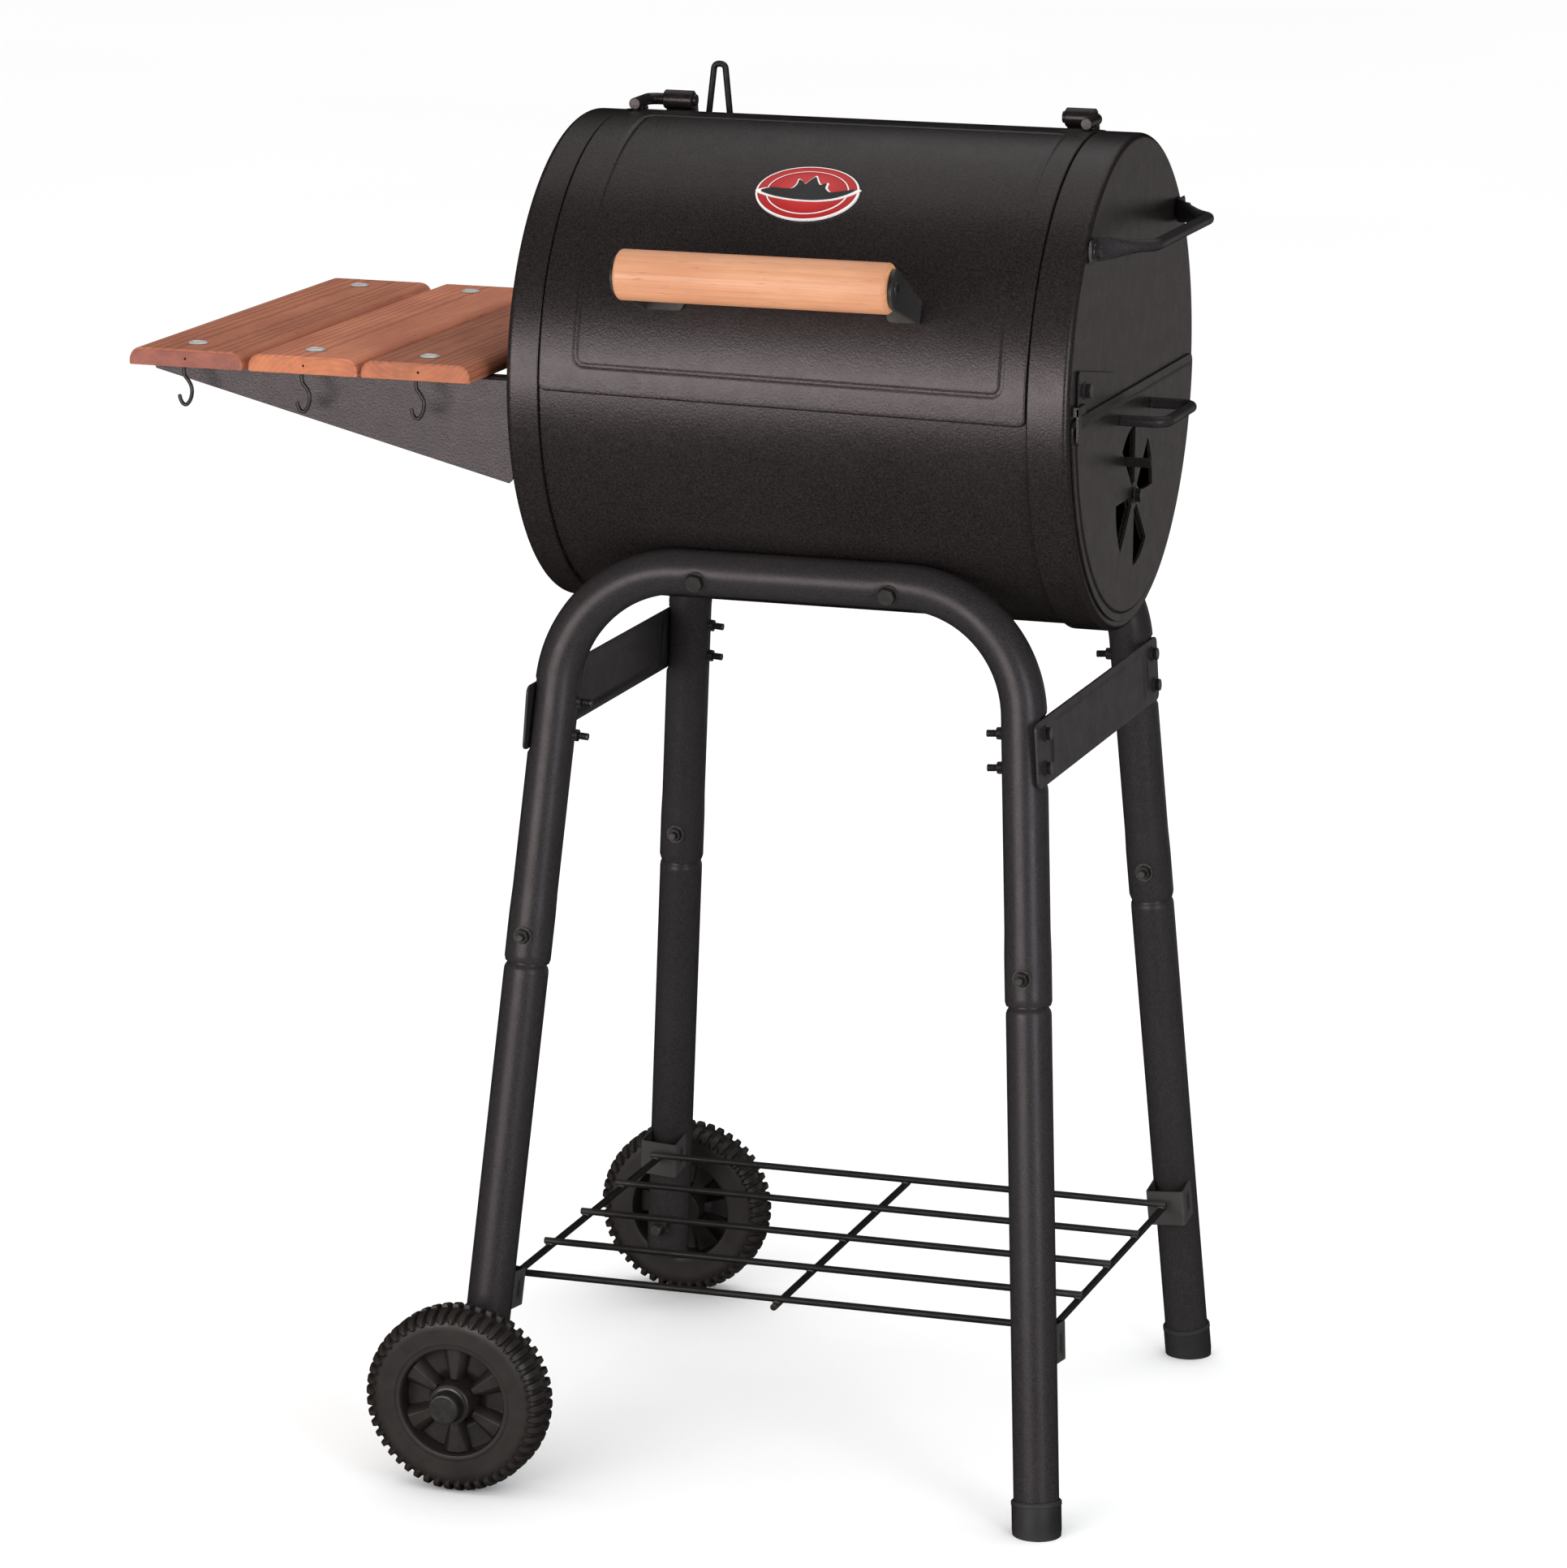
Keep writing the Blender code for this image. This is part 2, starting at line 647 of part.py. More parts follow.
def ash_pan():
    """Half-round trough, open at the top and at the front where the drawer plate closes it."""
    start = degrees(asin((PAN_TOP_Z - AXIS_Z) / PAN_R))
    outline = arc(PAN_R, start, -180 - start, 24, (0.0, AXIS_Z))
    bm = prism(outline, "x", PAN_REAR_X, CAP_X)
    top = max(bm.faces, key=lambda face: face.calc_center_median().z)
    front = max(bm.faces, key=lambda face: face.calc_center_median().x)
    bmesh.ops.delete(bm, geom=[top, front], context="FACES")
    pan = finish(bm, "ash_pan", BARREL_PAINT, DRAWER, smooth=30)
    walls = pan.modifiers.new("sheet", "SOLIDIFY")
    walls.thickness = SHEET
    walls.offset = -1
    walls.use_even_offset = True
    return pan


def drawer_handle():
    face = CAP_X + GAP + SHEET + 0.0012 + GAP
    corners = [
        (face, -PULL_HALF, PULL_Z),
        (face + PULL_REACH, -PULL_HALF, PULL_Z),
        (face + PULL_REACH, PULL_HALF, PULL_Z),
        (face, PULL_HALF, PULL_Z),
    ]
    bar = pipe(rounded_path(corners, 0.012, 5), 0.0045, 10)
    finish(bar, "drawer_handle", TUBE_PAINT, DRAWER, smooth=50)


def vent_rotor(name, parent, centre_z, face_x, outward):
    """Four-bladed plate behind a vent, with a finger tab bent out through one opening."""
    near, far = face_x, face_x - outward * 0.0010
    outline = []
    for start in VENT_ANGLES:
        outline += arc(VENT_R[0] + 0.004, start + 2, start + VENT_SPAN - 6, 3, (0.0, centre_z))
        outline += arc(VENT_R[1] + 0.003, start + VENT_SPAN - 3, start + 89, 4, (0.0, centre_z))
    disc = prism(outline, "x", min(near, far), max(near, far))
    rotor = finish(disc, name, BARREL_PAINT, parent, smooth=30)
    tab_angle = radians(90 + VENT_SPAN - 3.5)
    tip = face_x + outward * 0.024
    tab = box((min(far, tip), -0.0009, -0.005), (max(far, tip), 0.0009, 0.005))
    place = Vector((0, 0.042 * cos(tab_angle), centre_z + 0.042 * sin(tab_angle)))
    turn = Matrix.Rotation(tab_angle - pi / 2, 4, "X")
    bmesh.ops.transform(tab, matrix=Matrix.Translation(place) @ turn, verts=tab.verts)
    combine(rotor, finish(tab, name + "_tab", BARREL_PAINT), "UNION")
    drill(rotor, (face_x, 0, centre_z), (1, 0, 0), 0.0036, 0.004)
    return rotor


def vent_bolt(name, parent, centre_z, face_x, outward):
    rings = [
        (-0.0075, 0.0050, True),
        (-0.0040, 0.0050, True),
        (-0.0040, 0.0032, False),
        (0.0045, 0.0032, False),
        (0.0045, 0.0062, True),
        (0.0095, 0.0062, True),
    ]
    finish(ring_stack(rings, (face_x, 0, centre_z), (outward, 0, 0)), name, BLACK_STEEL, parent, smooth=30)


def charcoal_grate():
    bars = 14
    xs = []
    for index in range(bars):
        xs += [-0.180 + index * 0.0278, -0.174 + index * 0.0278]
    half = 0.143
    ys = [-half, -half + 0.006, -0.050, -0.044, 0.044, 0.050, half - 0.006, half]
    bm = lattice(xs, ys, CHARCOAL_Z, CHARCOAL_Z + 0.005)
    finish(bm, "charcoal_grate", CAST_IRON, DRAWER)


def cooking_grates():
    bars = 11
    step = 0.0186
    for where, parent, start in (("left", GRATE_LEFT, -0.1940), ("right", GRATE_RIGHT, -0.0010)):
        xs = []
        for index in range(bars):
            xs += [start + index * step, start + 0.006 + index * step]
        half = GRATE_HALF_Y
        ys = [-half, -half + 0.008, -0.004, 0.004, half - 0.008, half]
        bm = lattice(xs, ys, GRATE_Z - 0.005, GRATE_Z + 0.004)
        finish(bm, "cooking_grate_" + where, CAST_IRON, parent)


# ---------------------------------------------------------------- stand

def frame_path(side_y):
    corners = [
        leg_point(-1, side_y, JOINT_Z),
        leg_point(-1, side_y, FRAME_TOP_Z),
        leg_point(1, side_y, FRAME_TOP_Z),
        leg_point(1, side_y, JOINT_Z),
    ]
    return rounded_path(corners, BEND_R, 7)


def saddle_direction(side_y):
    """From the barrel's centre line out through the middle of the top tube."""
    tube = leg_point(1, side_y, FRAME_TOP_Z)
    return Vector((0, tube.y, tube.z - AXIS_Z)).normalized()


def upper_frames():
    for name, side_y in (("upper_frame_front", -1), ("upper_frame_rear", 1)):
        tube = pipe(frame_path(side_y), TUBE_R, TUBE_SIDES, capped=False)
        frame = finish(tube, name, TUBE_PAINT, smooth=50)
        wall = frame.modifiers.new("wall", "SOLIDIFY")
        wall.thickness = TUBE_WALL
        wall.offset = -1
        for side_x in (-1, 1):
            drill(frame, leg_point(side_x, side_y, LEG_BOLT_Z), (0, 1, 0), 0.0036, 0.03)
            place = leg_point(1, side_y, FRAME_TOP_Z)
            place.x = side_x * SADDLE_X
            drill(frame, place, saddle_direction(side_y), 0.0042, 0.03)


def saddle_bolts(shell):
    """Hex bolts that hold the barrel to the two top tubes, with the nut inside the barrel."""
    for side_y, where in ((-1, "front"), (1, "rear")):
        tube = leg_point(1, side_y, FRAME_TOP_Z)
        tube_r = sqrt(tube.y ** 2 + (tube.z - AXIS_Z) ** 2)
        for side_x, end in ((-1, "left"), (1, "right")):
            head = TUBE_R + GAP
            inside = SHELL_R - SHEET - GAP - 0.0006 - tube_r
            rings = [
                (inside - 0.005, 0.0068, True),
                (inside, 0.0068, True),
                (inside, 0.0038, False),
                (head, 0.0038, False),
                (head, 0.0085, False),
                (head + 0.0015, 0.0085, False),
                (head + 0.0015, 0.0072, True),
                (head + 0.0065, 0.0072, True),
            ]
            place = Vector((side_x * SADDLE_X, tube.y, tube.z))
            bolt = ring_stack(rings, place, saddle_direction(side_y))
            finish(bolt, "saddle_bolt_" + where + "_" + end, BLACK_STEEL, smooth=30)
            drill(shell, place, saddle_direction(side_y), 0.0042, 0.03)


def corners_of_stand():
    return (("front_left", -1, -1), ("front_right", 1, -1), ("rear_left", -1, 1), ("rear_right", 1, 1))


def lower_legs():
    for name, side_x, side_y in corners_of_stand():
        end_z = LEFT_LEG_END_Z if side_x < 0 else 0.012
        foot = leg_point(side_x, side_y, end_z)
        joint = leg_point(side_x, side_y, JOINT_Z)
        length = (joint - foot).length - GAP
        inner = TUBE_R - TUBE_WALL
        profile = [
            (0.0, TUBE_R),
            (length - 0.006, TUBE_R),
            (length - 0.002, TUBE_R - 0.0008),
            (length, NECK_R),
            (length + NECK_LENGTH, NECK_R),
            (length + NECK_LENGTH, NECK_R - TUBE_WALL),
            (length, NECK_R - TUBE_WALL),
            (length - 0.008, inner),
            (0.0, inner),
        ]
        bm = lathe(profile, (0, 0, 0), "z", steps=TUBE_SIDES)
        turn = Vector((0, 0, 1)).rotation_difference(leg_direction(side_x, side_y)).to_matrix().to_4x4()
        bmesh.ops.transform(bm, matrix=Matrix.Translation(foot) @ turn, verts=bm.verts)
        leg = finish(bm, "lower_leg_" + name, TUBE_PAINT, smooth=50)
        drill(leg, leg_point(side_x, side_y, LEG_BOLT_Z), (0, 1, 0), 0.0036, 0.03)
        if side_x < 0:
            drill(leg, leg_point(side_x, side_y, WHEEL_R), (0, 1, 0), AXLE_R + 0.0004, 0.03)


def leg_bolts():
    for name, side_x, side_y in corners_of_stand():
        place = leg_point(side_x, side_y, LEG_BOLT_Z)
        outside = TUBE_R + 0.0022
        rings = [
            (-outside - 0.0045, 0.0058, True),
            (-outside, 0.0058, True),
            (-outside, 0.0032, False),
            (outside, 0.0032, False),
            (outside, 0.0058, True),
            (outside + 0.0050, 0.0058, True),
            (outside + 0.0050, 0.0030, False),
            (outside + 0.0100, 0.0030, False),
        ]
        finish(ring_stack(rings, place, (0, 1, 0)), "leg_bolt_" + name, BLACK_STEEL, smooth=30)


def foot_caps():
    """Moulded caps on the two right legs, cut level where they stand on the floor."""
    for name, side_x, side_y in corners_of_stand():
        if side_x < 0:
            continue
        base = leg_point(side_x, side_y, -0.004)
        bore = TUBE_R + 0.0005
        floor = 0.016 - GAP
        profile = [
            (0.0, 0.0),
            (0.0, CAP_FOOT_R),
            (CAP_FOOT_HEIGHT + 0.003, CAP_FOOT_R),
            (CAP_FOOT_HEIGHT + 0.004, CAP_FOOT_R - 0.001),
            (CAP_FOOT_HEIGHT + 0.004, bore),
            (floor, bore),
            (floor, 0.0),
        ]
        bm = lathe(profile, (0, 0, 0), "z", steps=20)
        turn = Vector((0, 0, 1)).rotation_difference(leg_direction(side_x, side_y)).to_matrix().to_4x4()
        bmesh.ops.transform(bm, matrix=Matrix.Translation(base) @ turn, verts=bm.verts)
        bmesh.ops.remove_doubles(bm, verts=bm.verts, dist=0.00001)
        cut = bmesh.ops.bisect_plane(bm, geom=list(bm.verts) + list(bm.edges) + list(bm.faces),
                                     plane_co=(0, 0, 0), plane_no=(0, 0, 1), clear_inner=True)
        rim = [item for item in cut["geom_cut"] if isinstance(item, bmesh.types.BMEdge)]
        bmesh.ops.holes_fill(bm, edges=rim)
        finish(bm, "foot_cap_" + name, TYRE, smooth=35)


def leg_braces():
    """Pressed strips that tie the front and rear legs together on each side."""
    low_z, high_z = BRACE_Z
    middle_z = (low_z + high_z) / 2
    for name, side in (("leg_brace_left", -1), ("leg_brace_right", 1)):
        leg = leg_point(1, 1, middle_z)
        # The tube leans, so the strip stands clear of its lower, wider end.
        near = leg_point(1, 1, low_z).x - STAND_X + TUBE_R + GAP
        reach = leg.y + BRACE_OVERHANG
        bm = box((near, -reach, low_z), (near + BRACE_SHEET, reach, high_z))
        ends = [edge for edge in bm.edges
                if abs(edge.verts[0].co.x - edge.verts[1].co.x) > BRACE_SHEET / 2]
        bmesh.ops.bevel(bm, geom=ends, offset=0.006, segments=2, affect="EDGES")
        for vert in bm.verts:
            vert.co.x = STAND_X + side * (vert.co.x - LEG_X_SLOPE * (vert.co.z - low_z))
        finish(bm, name, TUBE_PAINT)


def wire_rack():
    """Five long wires welded across three short ones."""
    half = RACK_X + RACK_OVERHANG
    rods = []
    for index in range(5):
        y = -RACK_Y + index * RACK_Y / 2
        rods.append(((STAND_X - half, y, RACK_Z), (STAND_X + half, y, RACK_Z)))
    cross_z = RACK_Z - 2 * WIRE_R + 0.0012
    reach = leg_point(1, 1, cross_z).y - TUBE_R - 0.0055
    for x, end in ((-RACK_X, reach), (0.0, RACK_Y + 0.008), (RACK_X, reach)):
        rods.append(((STAND_X + x, -end, cross_z), (STAND_X + x, end, cross_z)))
    rack = None
    for start, end in rods:
        rod = finish(pipe([Vector(start), Vector(end)], WIRE_R, 8), "wire_rack", BLACK_STEEL, smooth=50)
        if rack:
            combine(rack, rod, "UNION")
        else:
            rack = rod


def rack_clips():
    """Channel clips wrapped round the legs, open to the outside, that carry the rack."""
    for name, side_x, side_y in corners_of_stand():
        half = TUBE_R + 0.0008
        sheet = 0.0022
        outline = [
            (-half - sheet, -half - sheet),
            (half + sheet, -half - sheet),
            (half + sheet, 0.010),
            (half, 0.010),
            (half, -half),
            (-half, -half),
            (-half, 0.010),
            (-half - sheet, 0.010),
        ]
        outline = [(x, side_y * y) for x, y in outline]
        bm = prism(outline, "z", -CLIP_HEIGHT / 2, CLIP_HEIGHT / 2)
        turn = Vector((0, 0, 1)).rotation_difference(leg_direction(side_x, side_y)).to_matrix().to_4x4()
        place = leg_point(side_x, side_y, CLIP_Z)
        bmesh.ops.transform(bm, matrix=Matrix.Translation(place) @ turn, verts=bm.verts)
        finish(bm, "rack_clip_" + name, BLACK_STEEL)


# ---------------------------------------------------------------- wheels

def wheel(name, parent, side_y):
    """Moulded wheel: lugged tread, tyre wall, rim, dished web with six ribs and a proud hub."""
    half = WHEEL_WIDTH / 2
    tread_r = WHEEL_R - 0.003
    profile = [
        (-half, 0.047), (-half + 0.004, tread_r), (half - 0.004, tread_r), (half, 0.047),
        (half - 0.009, 0.0445), (half - 0.010, 0.0185), (half + HUB_RISE, 0.0165),
        (half + HUB_RISE, AXLE_R + 0.0005), (-half + 0.001, AXLE_R + 0.0005),
        (-half + 0.001, 0.018), (-half + 0.010, 0.020), (-half + 0.009, 0.0445),
    ]
    if side_y < 0:
        profile = [(-along, radius) for along, radius in profile]
    centre = leg_point(-1, side_y, WHEEL_R)
    centre.y = side_y * WHEEL_Y
    bm = lathe(profile, centre, "y", steps=WHEEL_LUGS * 2)
    bmesh.ops.remove_doubles(bm, verts=bm.verts, dist=0.00001)
    bmesh.ops.recalc_face_normals(bm, faces=bm.faces)
    bm.faces.ensure_lookup_table()
    tread = []
    web = []
    for face in bm.faces:
        middle = face.calc_center_median() - centre
        radius = sqrt(middle.x ** 2 + middle.z ** 2)
        turn = atan2(middle.z, middle.x) % (2 * pi)
        index = int(turn / (2 * pi) * WHEEL_LUGS * 2 + 0.001)
        if radius > tread_r - 0.0012 and abs(middle.y) < half - 0.005 and index % 2 == 0:
            tread.append(face)
        if 0.024 < radius < 0.036 and index % (2 * WHEEL_LUGS // WHEEL_RIBS) > 1:
            web.append(face)
    lugs = bmesh.ops.extrude_discrete_faces(bm, faces=tread)["faces"]
    for face in lugs:
        for vert in face.verts:
            arm = vert.co - centre
            arm.y = 0
            vert.co += arm.normalized() * (WHEEL_R - tread_r)
    grown = bmesh.ops.extrude_face_region(bm, geom=web)
    for item in grown["geom"]:
        if isinstance(item, bmesh.types.BMVert):
            depth = item.co.y - centre.y
            item.co.y = centre.y + (0.0025 if depth > 0 else -0.0025)
    bmesh.ops.delete(bm, geom=web, context="FACES")
    finish(bm, name, TYRE, parent, smooth=30)


def axle_bolts():
    for name, side_y in (("axle_bolt_front", -1), ("axle_bolt_rear", 1)):
        leg = leg_point(-1, side_y, WHEEL_R)
        inner = abs(leg.y) - TUBE_R - 0.0030
        face = WHEEL_Y + WHEEL_WIDTH / 2
        outer = face + HUB_RISE + GAP
        rings = [
            (inner - 0.014, AXLE_R - 0.0004, False),
            (inner - 0.008, AXLE_R - 0.0004, False),
            (inner - 0.008, 0.0090, True),
            (inner, 0.0090, True),
            (inner, AXLE_R, False),
            (outer, AXLE_R, False),
            (outer, 0.0150, False),
            (outer + 0.0020, 0.0150, False),
            (outer + 0.0020, AXLE_CAP_R, False),
            (face + AXLE_CAP_END, AXLE_CAP_R, False),
        ]
        place = Vector((leg.x, 0, leg.z))
        finish(ring_stack(rings, place, (0, side_y, 0)), name, BLACK_STEEL, smooth=30)


# ---------------------------------------------------------------- side shelf

def shelf_gussets():
    """Tapered sheet brackets with a folded top flange and a tab against the barrel's end cap."""
    top = BOARD_BOTTOM_Z - GAP
    wall_x = -CAP_X - GAP
    outline = [
        (GUSSET_TIP_X, top),
        (wall_x, top),
        (wall_x, top - GUSSET_DROP),
        (GUSSET_TIP_X, top - 0.004),
    ]
    for where, y, inward in (("front", GUSSET_Y[0], 1), ("rear", GUSSET_Y[1], -1)):
        name = "shelf_gusset_" + where
        web = prism(outline, "y", min(y, y + inward * SHEET), max(y, y + inward * SHEET))
        plate = finish(web, name, BARREL_PAINT)
        flange_y = sorted((y + inward * SHEET / 2, y + inward * 0.020))
        flange = box((GUSSET_TIP_X, flange_y[0], top - SHEET), (wall_x, flange_y[1], top))
        combine(plate, finish(flange, name + "_flange", BARREL_PAINT), "UNION")
        tab_y = sorted((y + inward * SHEET / 2, y + inward * 0.016))
        tab_low = top - GUSSET_DROP + 0.006
        tab = box((wall_x - SHEET, tab_y[0], tab_low), (wall_x, tab_y[1], top - SHEET / 2))
        combine(plate, finish(tab, name + "_tab", BARREL_PAINT), "UNION")


def shelf_boards():
    top = BOARD_BOTTOM_Z + BOARD_THICKNESS
    for name, (low_x, high_x) in zip(("outer", "middle", "inner"), BOARD_X):
        bm = box((low_x, BOARD_Y[0], BOARD_BOTTOM_Z), (high_x, BOARD_Y[1], top))
        edges = [edge for edge in bm.edges if all(abs(vert.co.z - top) < 1e-6 for vert in edge.verts)]
        bmesh.ops.bevel(bm, geom=edges, offset=BOARD_ROUND, segments=3, affect="EDGES")
        finish(bm, "shelf_board_" + name, CEDAR)


def tool_hooks():
    """Screw hooks: a straight shank, a bow outward and an open tip."""
    top = BOARD_BOTTOM_Z - GAP
    bow = [(0, 0), (0, -0.006), (0.002, -0.009), (0.0065, -0.013), (0.009, -0.020), (0.008, -0.028),
           (0.003, -0.034), (-0.002, -0.0335), (-0.0045, -0.030), (-0.005, -0.026)]
    for name, x in zip(("outer", "middle", "inner"), HOOK_X):
        path = [Vector((x + out, HOOK_Y, top + down)) for out, down in bow]
        finish(pipe(path, HOOK_R, 8), "tool_hook_" + name, BLACK_STEEL, smooth=50)


# ---------------------------------------------------------------- the whole grill

def centre_on_floor():
    """Moves the grill so that the origin is under the middle of its bounding box."""
    bpy.context.view_layer.update()
    reach = []
    for obj in GRILL.children_recursive:
        if obj.type == "MESH" and not obj.hide_render:
            reach += [(obj.matrix_world @ Vector(corner)).x for corner in obj.bound_box]
    GRILL.location.x = -(min(reach) + max(reach)) / 2


LID = pivot("lid_pivot", (0, HINGE_Y, HINGE_Z))
DRAWER = pivot("drawer_pivot", (CAP_X, 0, PULL_Z))
DRAFT = pivot("draft_pivot", (CAP_X, 0, VENT_Z))
EXHAUST = pivot("exhaust_pivot", (-CAP_X, 0, EXHAUST_Z))
GRATE_LEFT = pivot("grate_left_pivot", (-0.097, 0, GRATE_Z))
GRATE_RIGHT = pivot("grate_right_pivot", (0.097, 0, GRATE_Z))
WHEEL_FRONT = pivot("wheel_front_pivot", leg_point(-1, -1, WHEEL_R))
WHEEL_REAR = pivot("wheel_rear_pivot", leg_point(-1, 1, WHEEL_R))

SHELL = body_shell()
left_end_cap()
right_end_cap()
hinge_sleeves()
lid_rest_loop()
lift_handle()
grate_rails()

lid_shell()
handle_brackets()
lid_handle()
hinge_rods()
badge()

drawer_front()
ash_pan()
drawer_handle()
charcoal_grate()
cooking_grates()
vent_rotor("draft_damper", DRAFT, VENT_Z, CAP_X - GAP, 1)
vent_bolt("draft_damper_bolt", DRAWER, VENT_Z, CAP_X, 1)
vent_rotor("exhaust_damper", EXHAUST, EXHAUST_Z, -CAP_X + SHEET + GAP, -1)

upper_frames()
saddle_bolts(SHELL)
lower_legs()
leg_bolts()
foot_caps()
leg_braces()
wire_rack()
rack_clips()

wheel("wheel_front", WHEEL_FRONT, -1)
wheel("wheel_rear", WHEEL_REAR, 1)
axle_bolts()

shelf_gussets()
shelf_boards()
tool_hooks()

centre_on_floor()
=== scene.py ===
"""Looks of a barrel charcoal grill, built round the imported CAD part.

Metres, +Z up, in the CAD's frame: front (lid handle) towards -Y, ash drawer +X, side shelf -X.
Pieces are modelled about the barrel's own centre line, and make() moves them by CENTRE_X.
"""

import json
from math import atan2, cos, degrees, hypot, pi, radians, sin, sqrt, tan

import bmesh
import bpy
from mathutils import Matrix, Vector

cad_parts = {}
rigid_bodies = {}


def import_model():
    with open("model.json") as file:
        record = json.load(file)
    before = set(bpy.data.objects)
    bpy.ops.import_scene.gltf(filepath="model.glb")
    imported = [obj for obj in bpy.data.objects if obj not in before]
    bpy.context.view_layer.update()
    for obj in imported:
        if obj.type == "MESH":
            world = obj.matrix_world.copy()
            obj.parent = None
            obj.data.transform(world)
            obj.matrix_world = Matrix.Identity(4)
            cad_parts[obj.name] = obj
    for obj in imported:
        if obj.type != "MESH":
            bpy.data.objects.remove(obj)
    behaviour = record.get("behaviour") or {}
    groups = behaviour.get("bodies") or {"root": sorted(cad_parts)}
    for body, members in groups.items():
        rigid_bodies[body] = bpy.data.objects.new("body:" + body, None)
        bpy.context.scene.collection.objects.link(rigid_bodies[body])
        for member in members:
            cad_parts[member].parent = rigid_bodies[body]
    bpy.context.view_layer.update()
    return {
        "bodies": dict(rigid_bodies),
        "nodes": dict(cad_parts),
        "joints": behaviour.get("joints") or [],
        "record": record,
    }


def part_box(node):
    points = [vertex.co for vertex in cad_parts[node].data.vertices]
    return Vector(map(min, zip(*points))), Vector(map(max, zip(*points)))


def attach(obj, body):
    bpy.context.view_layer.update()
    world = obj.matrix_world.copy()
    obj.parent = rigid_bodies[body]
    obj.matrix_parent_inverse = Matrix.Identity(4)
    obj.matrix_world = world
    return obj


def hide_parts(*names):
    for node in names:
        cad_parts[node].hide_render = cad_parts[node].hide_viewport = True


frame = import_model()

# ---------------------------------------------------------------- dimensions

CAP_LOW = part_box("left_end_cap")[0]
CAP_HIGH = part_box("right_end_cap")[1]
CENTRE_X = (CAP_LOW.x + CAP_HIGH.x) / 2
CAP_X = (CAP_HIGH.x - CAP_LOW.x) / 2      # outer face of both end caps
BAND_R = (CAP_HIGH.y - CAP_LOW.y) / 2     # outer radius of the end caps
AXIS_Z = (CAP_LOW.z + CAP_HIGH.z) / 2     # height of the barrel's centre line

SHEET = 0.0015
GAP = 0.0004
SHELL_R = 0.1965
LID_R = 0.2007
LID_SHEET = 0.0012
LID_HEM = 0.0016               # radius of its turned-in edges
LID_SKEW = -0.0180             # how far its front edge drops towards the right, per metre
LID_X = (-0.2035, 0.1970)
LID_ANGLES = (-1.5, 99.6)
SHELL_ANGLES = (100.8, 361.5)
LIP_DEPTH = 0.012

HINGE_Y = 0.038
HINGE_Z = AXIS_Z + 0.2065
HINGE_ROD_R = 0.0048
SLEEVE_R = 0.0078
SLEEVE_LENGTH = 0.025
SLEEVE_X = (-0.166, 0.1745)
HINGE_ROD_X = (-0.192, 0.1888)
LOOP_X = -0.1365
LOOP_Y = 0.0525
LOOP_TOP_Z = 1.1275

HANDLE_ANGLE = 21.7
HANDLE_AXIS_R = 0.280
DOWEL_R = 0.020
DOWEL_X = (-0.115, 0.1058)
STRAP = 0.003
STRAP_HALF = (0.0088, 0.0152)            # half width at the foot and at the dowel
STRAP_FEET = (0.030, 0.025)              # foot lengths, left and right
BADGE_ANGLE = 51.0
BADGE_X = -0.004
BADGE_HALF = (0.0425, 0.0288)

PLATE_TOP_Z = AXIS_Z - 0.002
PLATE_R = 0.192
OPENING_TOP_Z = AXIS_Z - 0.010
OPENING_R = 0.182
PANEL_RISE = 0.0012              # of the drawer plate's raised middle
PULL_Z = 0.866
PULL_HALF = 0.048
PULL_REACH = 0.036
VENT_Z = 0.798
EXHAUST_Z = AXIS_Z + 0.095
VENT_R = (0.011, 0.058)
VENT_BORE_R = 0.0036
VENT_SPAN = 45
VENT_STARTS = (0, 90, 180, 270)

LIFT_Z = 1.013
LIFT_FOOT_Y = 0.140
LIFT_ROD_Y = 0.087
LIFT_X = 0.270
LIFT_R = 0.0049

TUBE_R = 0.0184
FLARE_R = 0.0189
LOWER_R = 0.0183
NECK_R = 0.0161
TUBE_WALL = 0.0015
STAND_X = -0.0025             # the stand sits this far off the barrel's middle
LEG_X = (0.240, 0.070)        # half spread at the floor and slope, along X
LEG_Y = (0.250, 0.1263)       # and along Y
CORNERS = (("front_left", -1, -1), ("front_right", 1, -1), ("rear_left", -1, 1), ("rear_right", 1, 1))
FRAME_TOP_Z = 0.7408
BEND_R = 0.102
JOINT_Z = 0.419
LEG_BOLT_Z = 0.444
LEFT_LEG_END_Z = 0.046
SADDLE_X = 0.080
SADDLE_TILT = radians(14)
SADDLE_INSIDE = 0.0285          # from the tube's centre to the nut inside the barrel
BRACE_Z = (0.593, 0.646)
BRACE_SHEET = 0.0025
BRACE_OVERHANG = (0.024, 0.015)     # past the front and the rear leg
BRACE_SUNK = 0.0040             # how far the tube is pressed flat under it
BRACE_BOLT_Z = (0.6055, 0.6325)
CAP_FOOT_R = 0.0200

WHEEL_R = 0.0762
TREAD_R = 0.0724
WHEEL_HALF = 0.019
WHEEL_Y = 0.291
WHEEL_LUGS = 49
WHEEL_RIBS = 6
AXLE_R = 0.0050

RACK_Z = 0.1515
RACK_X = 0.2285
RACK_Y = 0.184
RACK_OVERHANG = 0.0035
WIRE_R = 0.0029
CLIP_Z = 0.1495
CLIP_HEIGHT = 0.031
CLIP_DEPTH = 0.037

